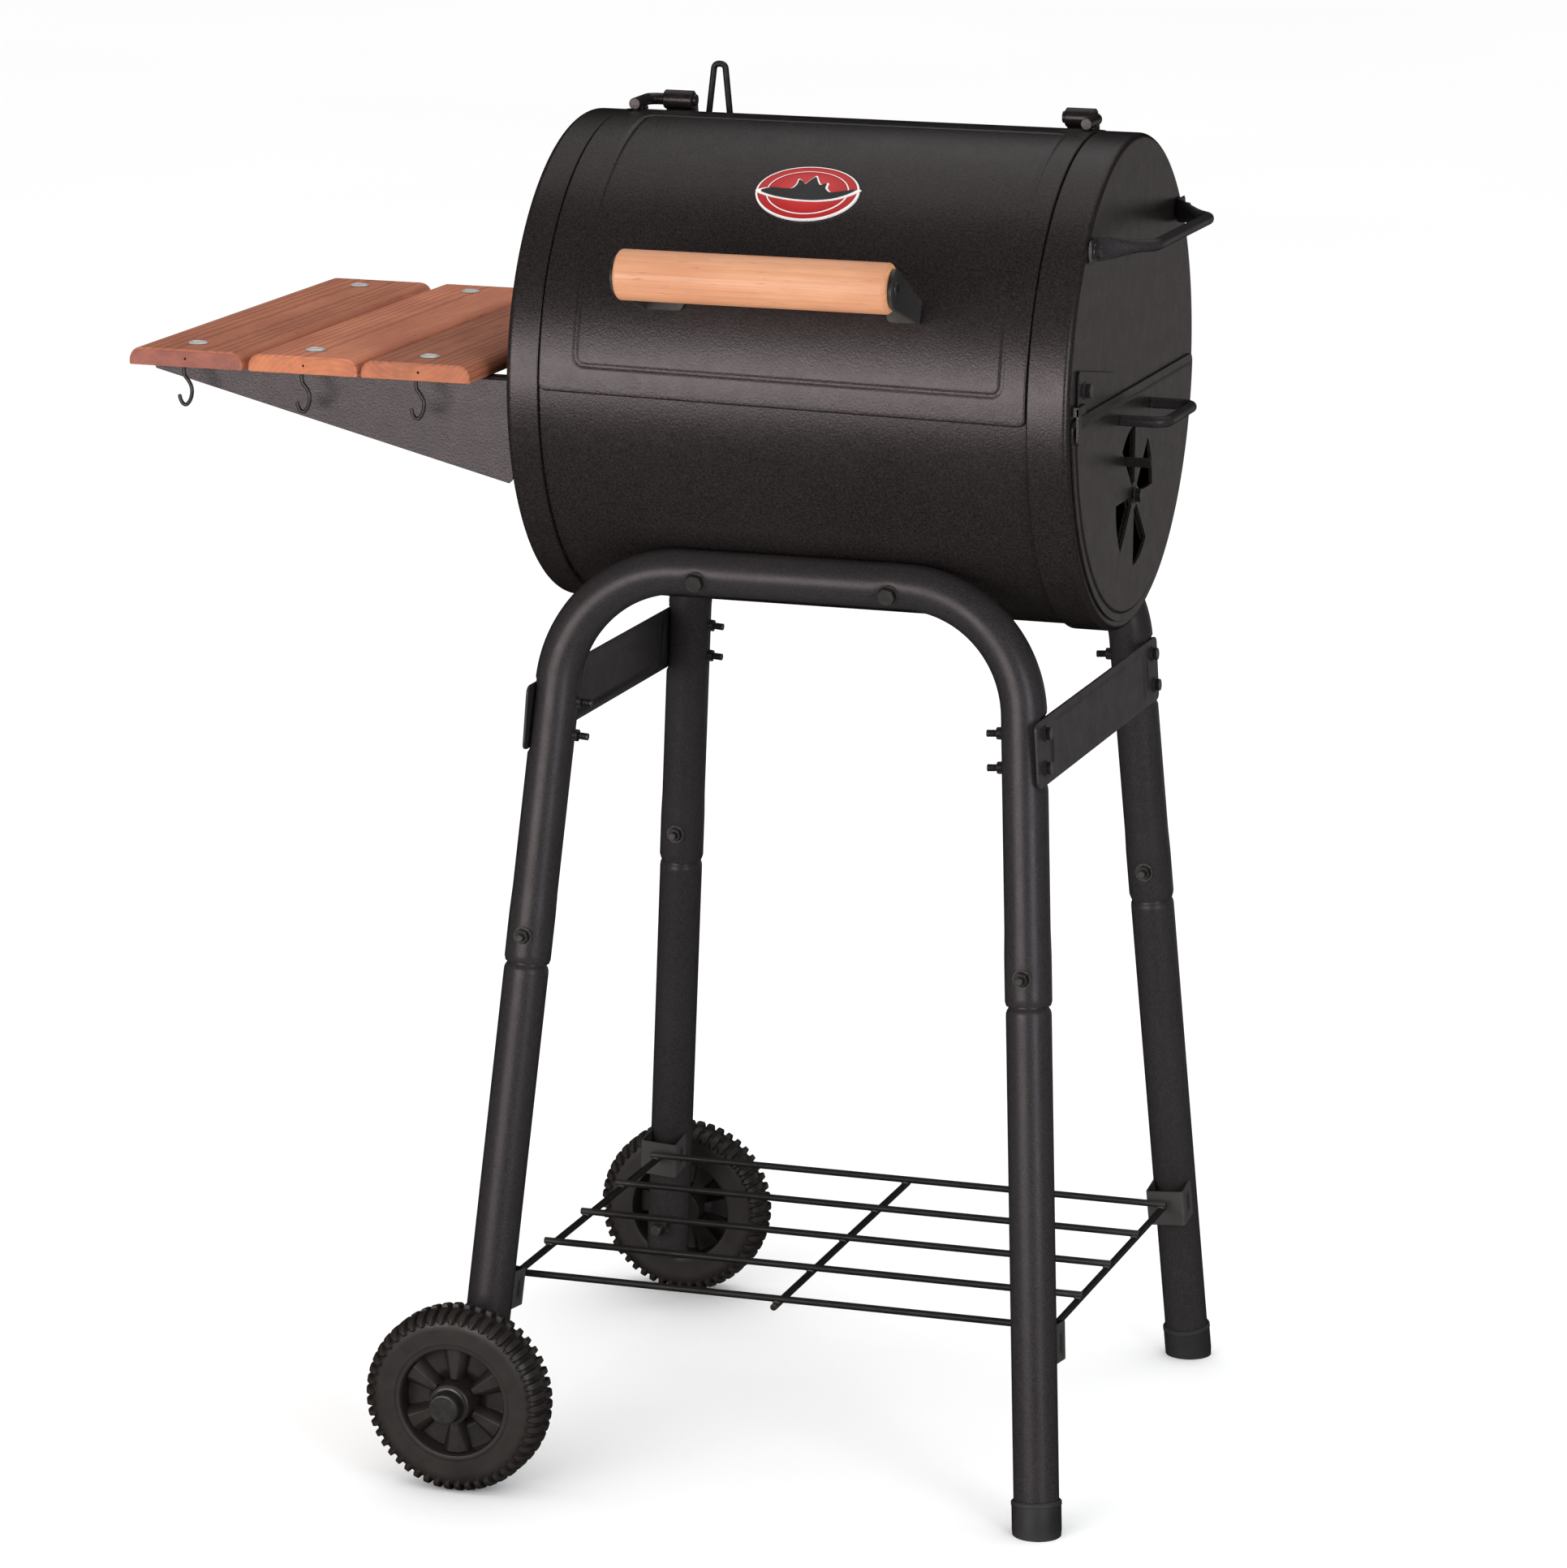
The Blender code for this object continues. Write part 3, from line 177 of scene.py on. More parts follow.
BOARD_X = ((-0.546, -0.448), (-0.443, -0.3495), (-0.3465, -0.2535))
BOARD_THICKNESS = 0.0145
BOARD_Y = (-0.222, 0.212)
BOARD_BOTTOM_Z = 0.8925
BOARD_ROUND = 0.0105
GUSSET_Y = (-0.180, 0.183)
GUSSET_TIP_X = -0.542
GUSSET_DROP = 0.0847
SHELF_PLACES = ("outer", "middle", "inner")
SCREW_Y = (-0.187, 0.171)
HOOK_X = (-0.507, -0.405, -0.307)
HOOK_Y = -0.205
HOOK_R = 0.0016


# ---------------------------------------------------------------- node materials

class Nodes:
    """A new material's node tree with short calls for the nodes used here."""

    def __init__(self, name):
        self.material = bpy.data.materials.new(name)
        self.material.use_nodes = True
        self.tree = self.material.node_tree
        self.shader = self.tree.nodes["Principled BSDF"]
        self.coords = self.tree.nodes.new("ShaderNodeTexCoord")

    def set(self, **values):
        for key, value in values.items():
            self.shader.inputs[key.replace("_", " ")].default_value = value

    def link(self, source, target):
        self.tree.links.new(source, target)

    def feed(self, value, socket):
        """Links a socket to another node's output, or sets its own value."""
        if isinstance(value, bpy.types.NodeSocket):
            self.link(value, socket)
        else:
            socket.default_value = value

    def add(self, kind, **inputs):
        node = self.tree.nodes.new("ShaderNode" + kind)
        for key, value in inputs.items():
            self.feed(value, node.inputs[key.replace("_", " ")])
        return node

    def place(self, scale=(1, 1, 1), offset=(0, 0, 0)):
        """Object coordinates in metres, stretched and moved."""
        node = self.add("Mapping", Vector=self.coords.outputs["Object"], Scale=scale, Location=offset)
        return node.outputs["Vector"]

    def noise(self, scale, detail=2.0, roughness=0.5, vector=None):
        place = vector or self.coords.outputs["Object"]
        node = self.add("TexNoise", Vector=place, Scale=scale, Detail=detail, Roughness=roughness)
        return node.outputs["Fac"]

    def voronoi(self, scale, vector=None):
        node = self.add("TexVoronoi", Vector=vector or self.coords.outputs["Object"], Scale=scale)
        return node.outputs["Distance"]

    def rings(self, axis, scale, vector, distortion, detail, detail_scale):
        node = self.add("TexWave", Vector=vector, Scale=scale, Distortion=distortion, Detail=detail,
                        Detail_Scale=detail_scale)
        node.wave_type = "RINGS"
        node.rings_direction = axis
        return node.outputs["Fac"]

    def ramp(self, value, low, high, to_low=0.0, to_high=1.0):
        """value from low..high to to_low..to_high, clamped."""
        node = self.add("MapRange", Value=value, From_Min=low, From_Max=high, To_Min=to_low, To_Max=to_high)
        return node.outputs["Result"]

    def cloud(self, scale, detail, roughness=0.5, limits=(0.0, 1.0)):
        """Contrasty noise between two limits."""
        return self.ramp(self.noise(scale, detail, roughness), 0.3, 0.7, *limits)

    def mix(self, factor, first, second):
        """Mixes two colours, given as tuples or sockets; factor is a number or a socket."""
        node = self.tree.nodes.new("ShaderNodeMix")
        node.data_type = "RGBA"
        for value, index in ((factor, 0), (first, 6), (second, 7)):
            self.feed((*value, 1.0) if isinstance(value, tuple) else value, node.inputs[index])
        return node.outputs[2]

    def math(self, operation, first, second=0.0):
        node = self.tree.nodes.new("ShaderNodeMath")
        node.operation = operation
        self.feed(first, node.inputs[0])
        self.feed(second, node.inputs[1])
        return node.outputs[0]

    def stain(self, colour, share, amount, other):
        """Mixes another colour in where share says, up to an amount."""
        return self.mix(self.math("MULTIPLY", share, amount), colour, other)

    def bump(self, height, distance, strength=1.0, under=None):
        node = self.add("Bump", Strength=strength, Distance=distance, Height=height)
        if under:
            self.link(under, node.inputs["Normal"])
        return node.outputs["Normal"]

    def edges(self, low, high):
        """1 on worn convex edges, 0 elsewhere."""
        return self.ramp(self.add("NewGeometry").outputs["Pointiness"], low, high)

    def finish(self, colour, roughness=None, normal=None):
        for name, value in (("Base Color", colour), ("Roughness", roughness), ("Normal", normal)):
            if value:
                self.link(value, self.shader.inputs[name])
        return self.material


def tinted(colour, factor):
    return tuple(part * factor for part in colour)


def powder_coat(name, dark, light, rough, grain, depth, gloss=0.5):
    """Baked-on black paint: fine orange peel with painted highlights on its bumps, cloudy tone and a few
    dust specks.
    """
    n = Nodes(name)
    n.set(Specular_IOR_Level=gloss, Specular_Tint=(1.0, 0.88, 0.91, 1.0))
    colour = n.mix(n.ramp(n.noise(9.0, 3.0, 0.6), 0.2, 0.8), dark, light)
    # painted highlights of the grain: lighter speckle at the orange peel's scale, on the same noise as its
    # bumps, standing in for their sparkle
    fine = n.ramp(n.noise(grain, 2.0, 0.7), 0.35, 0.75)
    colour = n.stain(colour, fine, 0.65, tinted(light, 2.8))
    specks = n.ramp(n.voronoi(240.0), 0.06, 0.02)
    thin = n.ramp(n.noise(30.0, 2.0), 0.58, 0.70)
    colour = n.stain(colour, n.math("MULTIPLY", specks, thin), 0.35, (0.16, 0.15, 0.14))
    peel = n.bump(n.noise(grain, 3.0, 0.6), depth)
    waves = n.bump(n.noise(26.0, 2.0), 0.00012, 0.5, peel)
    return n.finish(colour, n.cloud(60.0, 4.0, 0.65, rough), waves)


def dark_metal(name, tone, rough, metallic=0.6):
    """Blackened steel of bolts, wires and brackets, with slight handling marks."""
    n = Nodes(name)
    n.set(Metallic=metallic, Specular_IOR_Level=0.4)
    colour = n.mix(n.cloud(60.0, 4.0, 0.65), tone, tinted(tone, 1.9))
    colour = n.stain(colour, n.edges(0.52, 0.58), 0.5, (0.20, 0.19, 0.18))
    return n.finish(colour, n.cloud(160.0, 3.0, 0.5, rough), n.bump(n.noise(900.0, 2.0), 0.00004))


def zinc(name):
    n = Nodes(name)
    n.set(Metallic=0.35)
    colour = n.mix(n.cloud(300.0, 4.0, 0.6), (0.54, 0.54, 0.52), (0.68, 0.68, 0.66))
    return n.finish(colour, n.cloud(500.0, 3.0, 0.5, (0.18, 0.38)), n.bump(n.noise(1500.0, 2.0), 0.00002))


def moulded_plastic(name, dark, light, rough):
    """Hard black plastic with the fine matt texture of its mould."""
    n = Nodes(name)
    n.set(Specular_IOR_Level=0.45)
    colour = n.mix(n.cloud(25.0, 3.0, 0.6), dark, light)
    colour = n.stain(colour, n.edges(0.52, 0.60), 0.35, tinted(light, 2.6))
    return n.finish(colour, n.cloud(90.0, 3.0, 0.5, rough), n.bump(n.noise(1400.0, 2.0, 0.7), 0.00005))


def cast_iron(name):
    n = Nodes(name)
    n.set(Metallic=0.35, Specular_IOR_Level=0.35)
    colour = n.mix(n.cloud(35.0, 4.0, 0.65), (0.018, 0.017, 0.016), (0.050, 0.046, 0.043))
    return n.finish(colour, n.cloud(120.0, 3.0, 0.5, (0.55, 0.8)), n.bump(n.noise(700.0, 4.0, 0.7), 0.00025))


def wood(name, axis, pith, tones, end_tones, spacing, rough, gloss=0.35, ring_share=0.55):
    """Solid timber: growth rings about a pith line along one axis, fibres, pores and lighter end grain."""
    n = Nodes(name)
    n.set(Specular_IOR_Level=gloss)
    along = "XYZ".index(axis)

    def drawn(across, lengthwise):
        """Coordinates for a grain that is drawn out along the timber."""
        scale = [across] * 3
        scale[along] = lengthwise
        return n.place(tuple(scale))

    wander = n.ramp(n.noise(7.0, 2.0, vector=drawn(1.0, 0.05)), 0.0, 1.0, -0.02, 0.02)
    shift = n.add("VectorMath")
    n.link(n.place((1, 1, 1), pith), shift.inputs[0])
    n.link(n.add("CombineXYZ", **{"Z" if axis == "X" else "X": wander}).outputs[0], shift.inputs[1])
    rings = n.rings(axis, 2 * pi / (20 * spacing), shift.outputs[0], 1.2, 2.0, 0.6)
    late = n.ramp(rings, 0.55, 0.98)
    fibre = n.noise(1.0, 3.0, 0.6, drawn(620.0, 9.0))
    pores = n.ramp(n.noise(1.0, 2.0, 0.5, drawn(900.0, 60.0)), 0.66, 0.74)
    patch = n.ramp(n.noise(1.0, 3.0, 0.55, drawn(24.0, 8.0)), 0.35, 0.68)
    light, middle, dark = tones
    colour = n.stain(n.mix(patch, light, middle), late, ring_share, dark)
    colour = n.stain(colour, n.ramp(fibre, 0.35, 0.75), 0.40, dark)
    colour = n.stain(colour, pores, 0.45, tinted(dark, 0.45))
    facing = n.add("SeparateXYZ", Vector=n.coords.outputs["Normal"])
    end = n.ramp(n.math("ABSOLUTE", facing.outputs[along]), 0.75, 0.95)
    end_colour = n.mix(n.ramp(n.noise(45.0, 3.0, 0.6), 0.35, 0.65), *end_tones)
    checks = n.ramp(n.voronoi(85.0, n.place((1.0, 1.0, 2.2))), 0.55, 0.75)
    end_colour = n.stain(end_colour, checks, 0.35, tinted(end_tones[1], 1.5))
    colour = n.mix(end, colour, n.stain(end_colour, late, 0.18, dark))
    normal = n.bump(fibre, 0.00012, 0.7)
    normal = n.bump(n.math("SUBTRACT", 1.0, pores), 0.00012, 0.5, normal)
    return n.finish(colour, n.ramp(fibre, 0.3, 0.7, *rough), normal)


def enamel(name, inner, outer, rough=0.30):
    """Glossy badge enamel, lighter towards the badge's middle."""
    n = Nodes(name)
    n.set(Coat_Weight=0.3, Coat_Roughness=0.15)
    centre = on_barrel(BADGE_X + CENTRE_X, LID_R, BADGE_ANGLE)
    spread_x, spread_yz = 22.0, 30.0
    spot = n.place((spread_x, spread_yz, spread_yz),
                   (-spread_x * centre.x, -spread_yz * centre.y, -spread_yz * centre.z))
    length = n.tree.nodes.new("ShaderNodeVectorMath")
    length.operation = "LENGTH"
    n.link(spot, length.inputs[0])
    colour = n.mix(n.ramp(length.outputs["Value"], 0.15, 0.62), inner, outer)
    colour = n.stain(colour, n.noise(400.0, 3.0), 0.12, tinted(outer, 0.5))
    gloss_map = n.cloud(200.0, 3.0, 0.5, (rough, rough + 0.12))
    return n.finish(colour, gloss_map, n.bump(n.noise(600.0, 2.0), 0.00003))


def on_barrel(x, radius, angle):
    """A point round the barrel; the angle, in degrees, rises from the front horizontal over the top."""
    turn = radians(angle)
    return Vector((x, -radius * cos(turn), AXIS_Z + radius * sin(turn)))


PAINT = powder_coat(
    "barrel_coat", (0.0066, 0.0051, 0.0049), (0.0115, 0.0090, 0.0088), (0.27, 0.34), 560.0, 0.00020,
)
INNER_PAINT = powder_coat(
    "inner_coat", (0.012, 0.011, 0.010), (0.030, 0.028, 0.026), (0.6, 0.75), 500.0, 0.00012,
)
TUBE_PAINT = powder_coat(
    "tube_coat", (0.0100, 0.0090, 0.0092), (0.0160, 0.0145, 0.0150), (0.33, 0.42), 900.0, 0.00005, 0.36,
)
BLACK_STEEL = dark_metal("black_steel_worn", (0.0100, 0.0090, 0.0086), (0.38, 0.54))
BOLT_STEEL = dark_metal("bolt_oxide", (0.030, 0.028, 0.027), (0.26, 0.42), 0.75)
HOOK_STEEL = dark_metal("hook_bronze", (0.0070, 0.0055, 0.0047), (0.16, 0.26), 0.3)
ZINC = zinc("zinc_plate")
PLASTIC = moulded_plastic("wheel_moulding", (0.0135, 0.0100, 0.0088), (0.0210, 0.0165, 0.0145), (0.38, 0.52))
FOOT_PLASTIC = moulded_plastic("foot_moulding", (0.014, 0.013, 0.013), (0.022, 0.020, 0.020), (0.45, 0.6))
IRON = cast_iron("cast_iron_seasoned")
DOWEL_WOOD = wood(
    "dowel_wood", "X", (0.0, 0.16, -0.80),
    ((0.58, 0.300, 0.165), (0.49, 0.218, 0.110), (0.35, 0.125, 0.058)),
    ((0.66, 0.33, 0.15), (0.52, 0.24, 0.10)), 0.0045, (0.38, 0.5), 0.45, 0.12,
)
BOARD_WOODS = [
    wood(
        "board_wood_" + where, "Y", pith,
        [tinted(tone, k) for tone in ((0.490, 0.175, 0.092), (0.390, 0.130, 0.068), (0.210, 0.060, 0.032))],
        ends, 0.0042, (0.48, 0.62), 0.35, 0.46,
    )
    for where, pith, k, ends in (
        ("outer", (0.36, 0.0, -0.865), 0.99, ((0.26, 0.080, 0.053), (0.19, 0.056, 0.040))),
        ("middle", (0.235, 0.0, -0.845), 1.20, ((0.43, 0.138, 0.055), (0.32, 0.096, 0.042))),
        ("inner", (0.17, 0.0, -0.935), 0.84, ((0.38, 0.118, 0.050), (0.28, 0.085, 0.038))),
    )
]
BADGE_RED = enamel("badge_red", (0.55, 0.020, 0.016), (0.36, 0.004, 0.005))
BADGE_WHITE = enamel("badge_white", (0.82, 0.80, 0.78), (0.74, 0.72, 0.70))
BADGE_BLACK = enamel("badge_black", (0.012, 0.011, 0.011), (0.010, 0.010, 0.010))


# ---------------------------------------------------------------- modelling helpers

def make(name, bm, material, body="grill_body", stands_for=(), smooth=38.0, more=(), weighted=True):
    """Makes a finished bmesh a piece of the object, riding on a body."""
    bmesh.ops.remove_doubles(bm, verts=bm.verts, dist=0.000002)
    bmesh.ops.recalc_face_normals(bm, faces=bm.faces)
    bmesh.ops.translate(bm, verts=bm.verts, vec=(CENTRE_X, 0, 0))
    mesh = bpy.data.meshes.new(name)
    bm.to_mesh(mesh)
    bm.free()
    for each in (material, *more):
        mesh.materials.append(each)
    mesh.shade_smooth()
    mesh.set_sharp_from_angle(angle=radians(smooth))
    obj = bpy.data.objects.new(name, mesh)
    bpy.context.scene.collection.objects.link(obj)
    if weighted:
        modifier = obj.modifiers.new("normals", "WEIGHTED_NORMAL")
        modifier.keep_sharp = True
    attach(obj, body)
    if stands_for:
        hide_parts(*([stands_for] if isinstance(stands_for, str) else stands_for))
    return obj


def keep(node, material, bevel=0.0, segments=2):
    """Shows a CAD node itself, with a finished material and softened edges."""
    obj = frame["nodes"][node]
    obj.data.materials.clear()
    obj.data.materials.append(material)
    if bevel:
        modifier = obj.modifiers.new("soft_edges", "BEVEL")
        modifier.width = bevel
        modifier.segments = segments
        modifier.limit_method = "ANGLE"
        modifier.angle_limit = radians(40)
    return obj


def join(*parts):
    """One bmesh out of several."""
    whole = bmesh.new()
    for part in parts:
        mesh = bpy.data.meshes.new("part")
        part.to_mesh(mesh)
        part.free()
        whole.from_mesh(mesh)
        bpy.data.meshes.remove(mesh)
    return whole


def carved(bm, cutter, operation="DIFFERENCE"):
    """bm with a cutter taken away from it, or joined to it."""
    holders = []
    for each in (bm, cutter):
        bmesh.ops.recalc_face_normals(each, faces=each.faces)
        mesh = bpy.data.meshes.new("carving")
        each.to_mesh(mesh)
        each.free()
        holder = bpy.data.objects.new("carving", mesh)
        bpy.context.scene.collection.objects.link(holder)
        holders.append(holder)
    modifier = holders[0].modifiers.new("cut", "BOOLEAN")
    modifier.operation = operation
    modifier.object = holders[1]
    bpy.context.view_layer.update()
    shape = holders[0].evaluated_get(bpy.context.evaluated_depsgraph_get())
    result = bmesh.new()
    result.from_mesh(shape.data)
    for holder in holders:
        mesh = holder.data
        bpy.data.objects.remove(holder)
        bpy.data.meshes.remove(mesh)
    return result


def moved(bm, matrix):
    bmesh.ops.transform(bm, matrix=matrix, verts=bm.verts)
    return bm


def prism(points, axis, low, high):
    """An outline extruded along one axis; its points are in the other two axes, in order."""
    order = {"x": (0, 1, 2), "y": (1, 0, 2), "z": (2, 0, 1)}[axis]
    bm = bmesh.new()
    rings = []
    for level in (low, high):
        ring = []
        for first, second in points:
            place = [0.0, 0.0, 0.0]
            place[order[0]] = level
            place[order[1]] = first
            place[order[2]] = second
            ring.append(bm.verts.new(place))
        rings.append(ring)
    bm.faces.new(rings[0])
    bm.faces.new(list(reversed(rings[1])))
    for index in range(len(points)):
        after = (index + 1) % len(points)
        bm.faces.new((rings[0][after], rings[0][index], rings[1][index], rings[1][after]))
    bmesh.ops.recalc_face_normals(bm, faces=bm.faces)
    return bm


def lofted(bm, rings, caps=True):
    """Faces between closed rings of vertices, each ring joined to the next."""
    for low, high in zip(rings, rings[1:]):
        for index in range(len(low)):
            after = (index + 1) % len(low)
            bm.faces.new((low[index], low[after], high[after], high[index]))
    if caps:
        bm.faces.new(rings[0])
        bm.faces.new(rings[-1])
    bmesh.ops.recalc_face_normals(bm, faces=bm.faces)
    return bm


def sheet_body(rows, columns, layers, point):
    """A closed sheet of two grids of vertices; point(row, column, layer) gives their places."""
    bm = bmesh.new()
    outer, inner = (
        [[bm.verts.new(point(row, column, layer)) for column in columns] for row in rows] for layer in layers
    )
    last_row, last_column = len(rows) - 1, len(columns) - 1
    for j in range(last_row):
        for i in range(last_column):
            bm.faces.new((outer[j][i], outer[j][i + 1], outer[j + 1][i + 1], outer[j + 1][i]))
            bm.faces.new((inner[j][i], inner[j + 1][i], inner[j + 1][i + 1], inner[j][i + 1]))
        for i in (0, last_column):
            bm.faces.new((outer[j][i], outer[j + 1][i], inner[j + 1][i], inner[j][i]))
    for i in range(last_column):
        for j in (0, last_row):
            bm.faces.new((outer[j][i], inner[j][i], inner[j][i + 1], outer[j][i + 1]))
    return bm


def box(low, high):
    outline = [(low[0], low[1]), (high[0], low[1]), (high[0], high[1]), (low[0], high[1])]
    return prism(outline, "z", low[2], high[2])


def softened(bm, width, segments=2, limit=30.0, choose=None):
    """Rounds the edges sharper than a limit, or those that choose() picks."""
    edges = []
    for edge in bm.edges:
        if len(edge.link_faces) == 2 and edge.calc_face_angle(0.0) > radians(limit):
            if choose is None or choose(edge):
                edges.append(edge)
    bmesh.ops.bevel(bm, geom=edges, offset=width, segments=segments, affect="EDGES", profile=0.5,
                    clamp_overlap=True)
    return bm


def arc(radius, start, end, steps, centre=(0.0, 0.0)):
    """Points on an arc, in degrees, first and last included."""
    points = []
    for index in range(steps + 1):
        angle = radians(start + (end - start) * index / steps)
        points.append((centre[0] + radius * cos(angle), centre[1] + radius * sin(angle)))
    return points


def spin(profile, place, steps, start=0.0, end=360.0, ring=False):
    """Turns a profile of (along, radius) about an axis; place(along, radius, degrees) gives the points.

    ring joins the profile's last point to its first. A turn under 360 degrees gets end faces.
    """
    bm = bmesh.new()
    whole = end - start >= 360.0
    poles = {}
    columns = []
    for step in range(steps if whole else steps + 1):
        angle = start + (end - start) * step / steps
        column = []
        for index, (along, radius) in enumerate(profile):
            if radius == 0.0:
                if index not in poles:
                    poles[index] = bm.verts.new(place(along, 0.0, 0.0))
                column.append(poles[index])
            else:
                column.append(bm.verts.new(place(along, radius, angle)))
        columns.append(column)
    spans = len(profile) if ring else len(profile) - 1
    for index in range(len(columns) if whole else len(columns) - 1):
        here, there = columns[index], columns[(index + 1) % len(columns)]
        for span in range(spans):
            after = (span + 1) % len(profile)
            corners = []
            for vert in (here[span], here[after], there[after], there[span]):
                if vert not in corners:
                    corners.append(vert)
            bm.faces.new(corners)
    if not whole:
        bm.faces.new(columns[0])
        bm.faces.new(list(reversed(columns[-1])))
    bmesh.ops.recalc_face_normals(bm, faces=bm.faces)
    return bm


def about(origin, direction):
    """place() for spin() round any line."""
    origin = Vector(origin)
    direction = Vector(direction).normalized()
    first = direction.orthogonal().normalized()
    second = direction.cross(first)

    def place(along, radius, angle):
        turn = radians(angle)
        return origin + direction * along + (first * cos(turn) + second * sin(turn)) * radius

    return place


def rounded_path(corners, radius, steps=10):
    """Points through the corners, with each inner corner turned as an arc."""
    corners = [Vector(corner) for corner in corners]
    radii = radius if isinstance(radius, (list, tuple)) else [radius] * (len(corners) - 2)
    path = [corners[0]]
    for before, corner, after, bend in zip(corners, corners[1:], corners[2:], radii):
        back = (before - corner).normalized()
        onward = (after - corner).normalized()
        half = back.angle(onward) / 2
        middle = corner + (back + onward).normalized() * bend / sin(half)
        first = corner + back * bend / tan(half) - middle
        last = corner + onward * bend / tan(half) - middle
        turn = first.angle(last)
        for index in range(steps + 1):
            share = index / steps
            spoke = (first * sin((1 - share) * turn) + last * sin(share * turn)) / sin(turn)
            path.append(middle + spoke)
    path.append(corners[-1])
    return path


def resampled(path, step):
    """The same line with a point every step, ends kept."""
    points = [Vector(path[0])]
    carry = 0.0
    for start, end in zip(path, path[1:]):
        length = (end - start).length
        if length < 1e-9:
            continue
        at = step - carry
        while at < length:
            points.append(start.lerp(end, at / length))
            at += step
        carry = (carry + length) % step
    if (points[-1] - path[-1]).length < step * 0.3:
        points.pop()
    points.append(Vector(path[-1]))
    return points


def sweep(path, radius, sides=24, wall=0.0, dome=0.0):
    """A round bar or tube along a path. radius is a number or a function of the distance along it.

    With a wall it is an open tube. dome rounds a bar's ends.
    """
    path = [Vector(point) for point in path]
    bm = bmesh.new()
    tangents = [(path[min(index + 1, len(path) - 1)] - path[max(index - 1, 0)]).normalized()
                for index in range(len(path))]
    side = tangents[0].orthogonal().normalized()
    frames = []
    travelled = 0.0
    for index, (point, tangent) in enumerate(zip(path, tangents)):
        if index:
            travelled += (point - path[index - 1]).length
            side = (side - tangent * side.dot(tangent)).normalized()
        size = radius(travelled) if callable(radius) else radius
        frames.append((point, tangent, side.copy(), tangent.cross(side), size))

    def end_frames(frame, sign, angles):
        point, tangent, first, second, size = frame
        return [(point + tangent * (sign * dome * sin(a)), tangent, first, second,
                 size - dome * (1 - cos(a))) for a in angles]

    if dome:
        head = end_frames(frames[0], -1, (pi / 2, pi / 3, pi / 6))
        frames = head + frames + end_frames(frames[-1], 1, (pi / 6, pi / 3, pi / 2))

    def ring(frame, thinner=0.0):
        point, _, first, second, size = frame
        turns = [2 * pi * index / sides for index in range(sides)]
        return [bm.verts.new(point + (first * cos(turn) + second * sin(turn)) * (size - thinner))
                for turn in turns]

    rings = [ring(frame) for frame in frames]
    if wall:
        rings += [ring(frame, wall) for frame in reversed(frames)]
        rings.append(rings[0])
    return lofted(bm, rings, not wall)


def dented(bm, place, direction, radius, depth):
    """Presses a round dent into the side of bm that faces a direction."""
    place = Vector(place)
    direction = Vector(direction).normalized()
    for vert in bm.verts:
        arm = vert.co - place
        height = arm.dot(direction)
        if height < 0.003:
            continue
        share = (arm - direction * height).length / radius
        if share < 1.0:
            vert.co -= direction * depth * (cos(share * pi) + 1) / 2
    return bm


def hexagonal(radius, angle):
    """Radius of a hexagon with that radius at its corners."""
    turn = (angle % 60.0) - 30.0
    return radius * cos(pi / 6) / cos(radians(turn))


def fastener(rings, origin, direction, steps=36):
    """A turned fastener from rings of (along, radius), with "h" for a hexagon and "c" for its chamfer."""
    place = about(origin, direction)
    bm = bmesh.new()
    loops = []
    for along, radius, *kind in rings:
        loop = []
        for step in range(steps):
            angle = 360.0 * step / steps
            size = hexagonal(radius, angle) if kind else radius
            if kind == ["c"]:
                size = min(size, radius * 0.885)
            loop.append(bm.verts.new(place(along, size, angle)))
        loops.append(loop)
    return lofted(bm, loops)


def bolt(name, rings, place, direction, node=(), body="grill_body", steps=36, smooth=30):
    make(name, fastener(rings, place, direction, steps), BOLT_STEEL, body, node, smooth=smooth)


def cross_cut(screw, low, high, place, axis, angle):
    """Cuts a cross recess into a screw's head: one slot, and the same a quarter turn on."""
    for turn in (angle, angle + pi / 2):
        spot = Matrix.Translation(place) @ Matrix.Rotation(turn, 4, axis)
        screw = carved(screw, moved(box(low, high), spot))
    return screw


def hex_rings(low, high, radius, chamfer_low=False, chamfer_high=True):
    """Rings of a hexagon head or nut between two heights."""
    rings = [(low, radius, "c"), (low + 0.0008, radius, "h")] if chamfer_low else [(low, radius, "h")]
    rings += [(high - 0.0009, radius, "h"), (high, radius, "c")] if chamfer_high else [(high, radius, "h")]
    return rings


def thread_rings(low, high, radius, pitch=0.0010):
    rings = [(low, radius)]
    at = low + pitch
    while at < high - pitch:
        rings += [(at - pitch * 0.5, radius), (at, radius * 0.86)]
        at += pitch
    rings += [(high - 0.0008, radius), (high, radius * 0.8)]
    return rings


def leg_point(side_x, side_y, z):
    """The centre line of one leg; the sides are -1 or 1."""
    x = STAND_X + side_x * (LEG_X[0] - LEG_X[1] * z)
    return Vector((x, side_y * (LEG_Y[0] - LEG_Y[1] * z), z))


def leg_matrix(side_x, side_y, z):
    """Stands a piece modelled along Z on a leg's centre line."""
    along = (leg_point(side_x, side_y, 1.0) - leg_point(side_x, side_y, 0.0)).normalized()
    turn = Vector((0, 0, 1)).rotation_difference(along).to_matrix().to_4x4()
    return Matrix.Translation(leg_point(side_x, side_y, z)) @ turn


def spread(low, high, step, marks, fine, reach):
    """Coordinates from low to high, closer together near the marks."""
    values = [low]
    while values[-1] < high:
        near = min(abs(values[-1] - mark) for mark in marks)
        values.append(values[-1] + (fine if near < reach else step))
    values[-1] = high
    return values


# ---------------------------------------------------------------- barrel

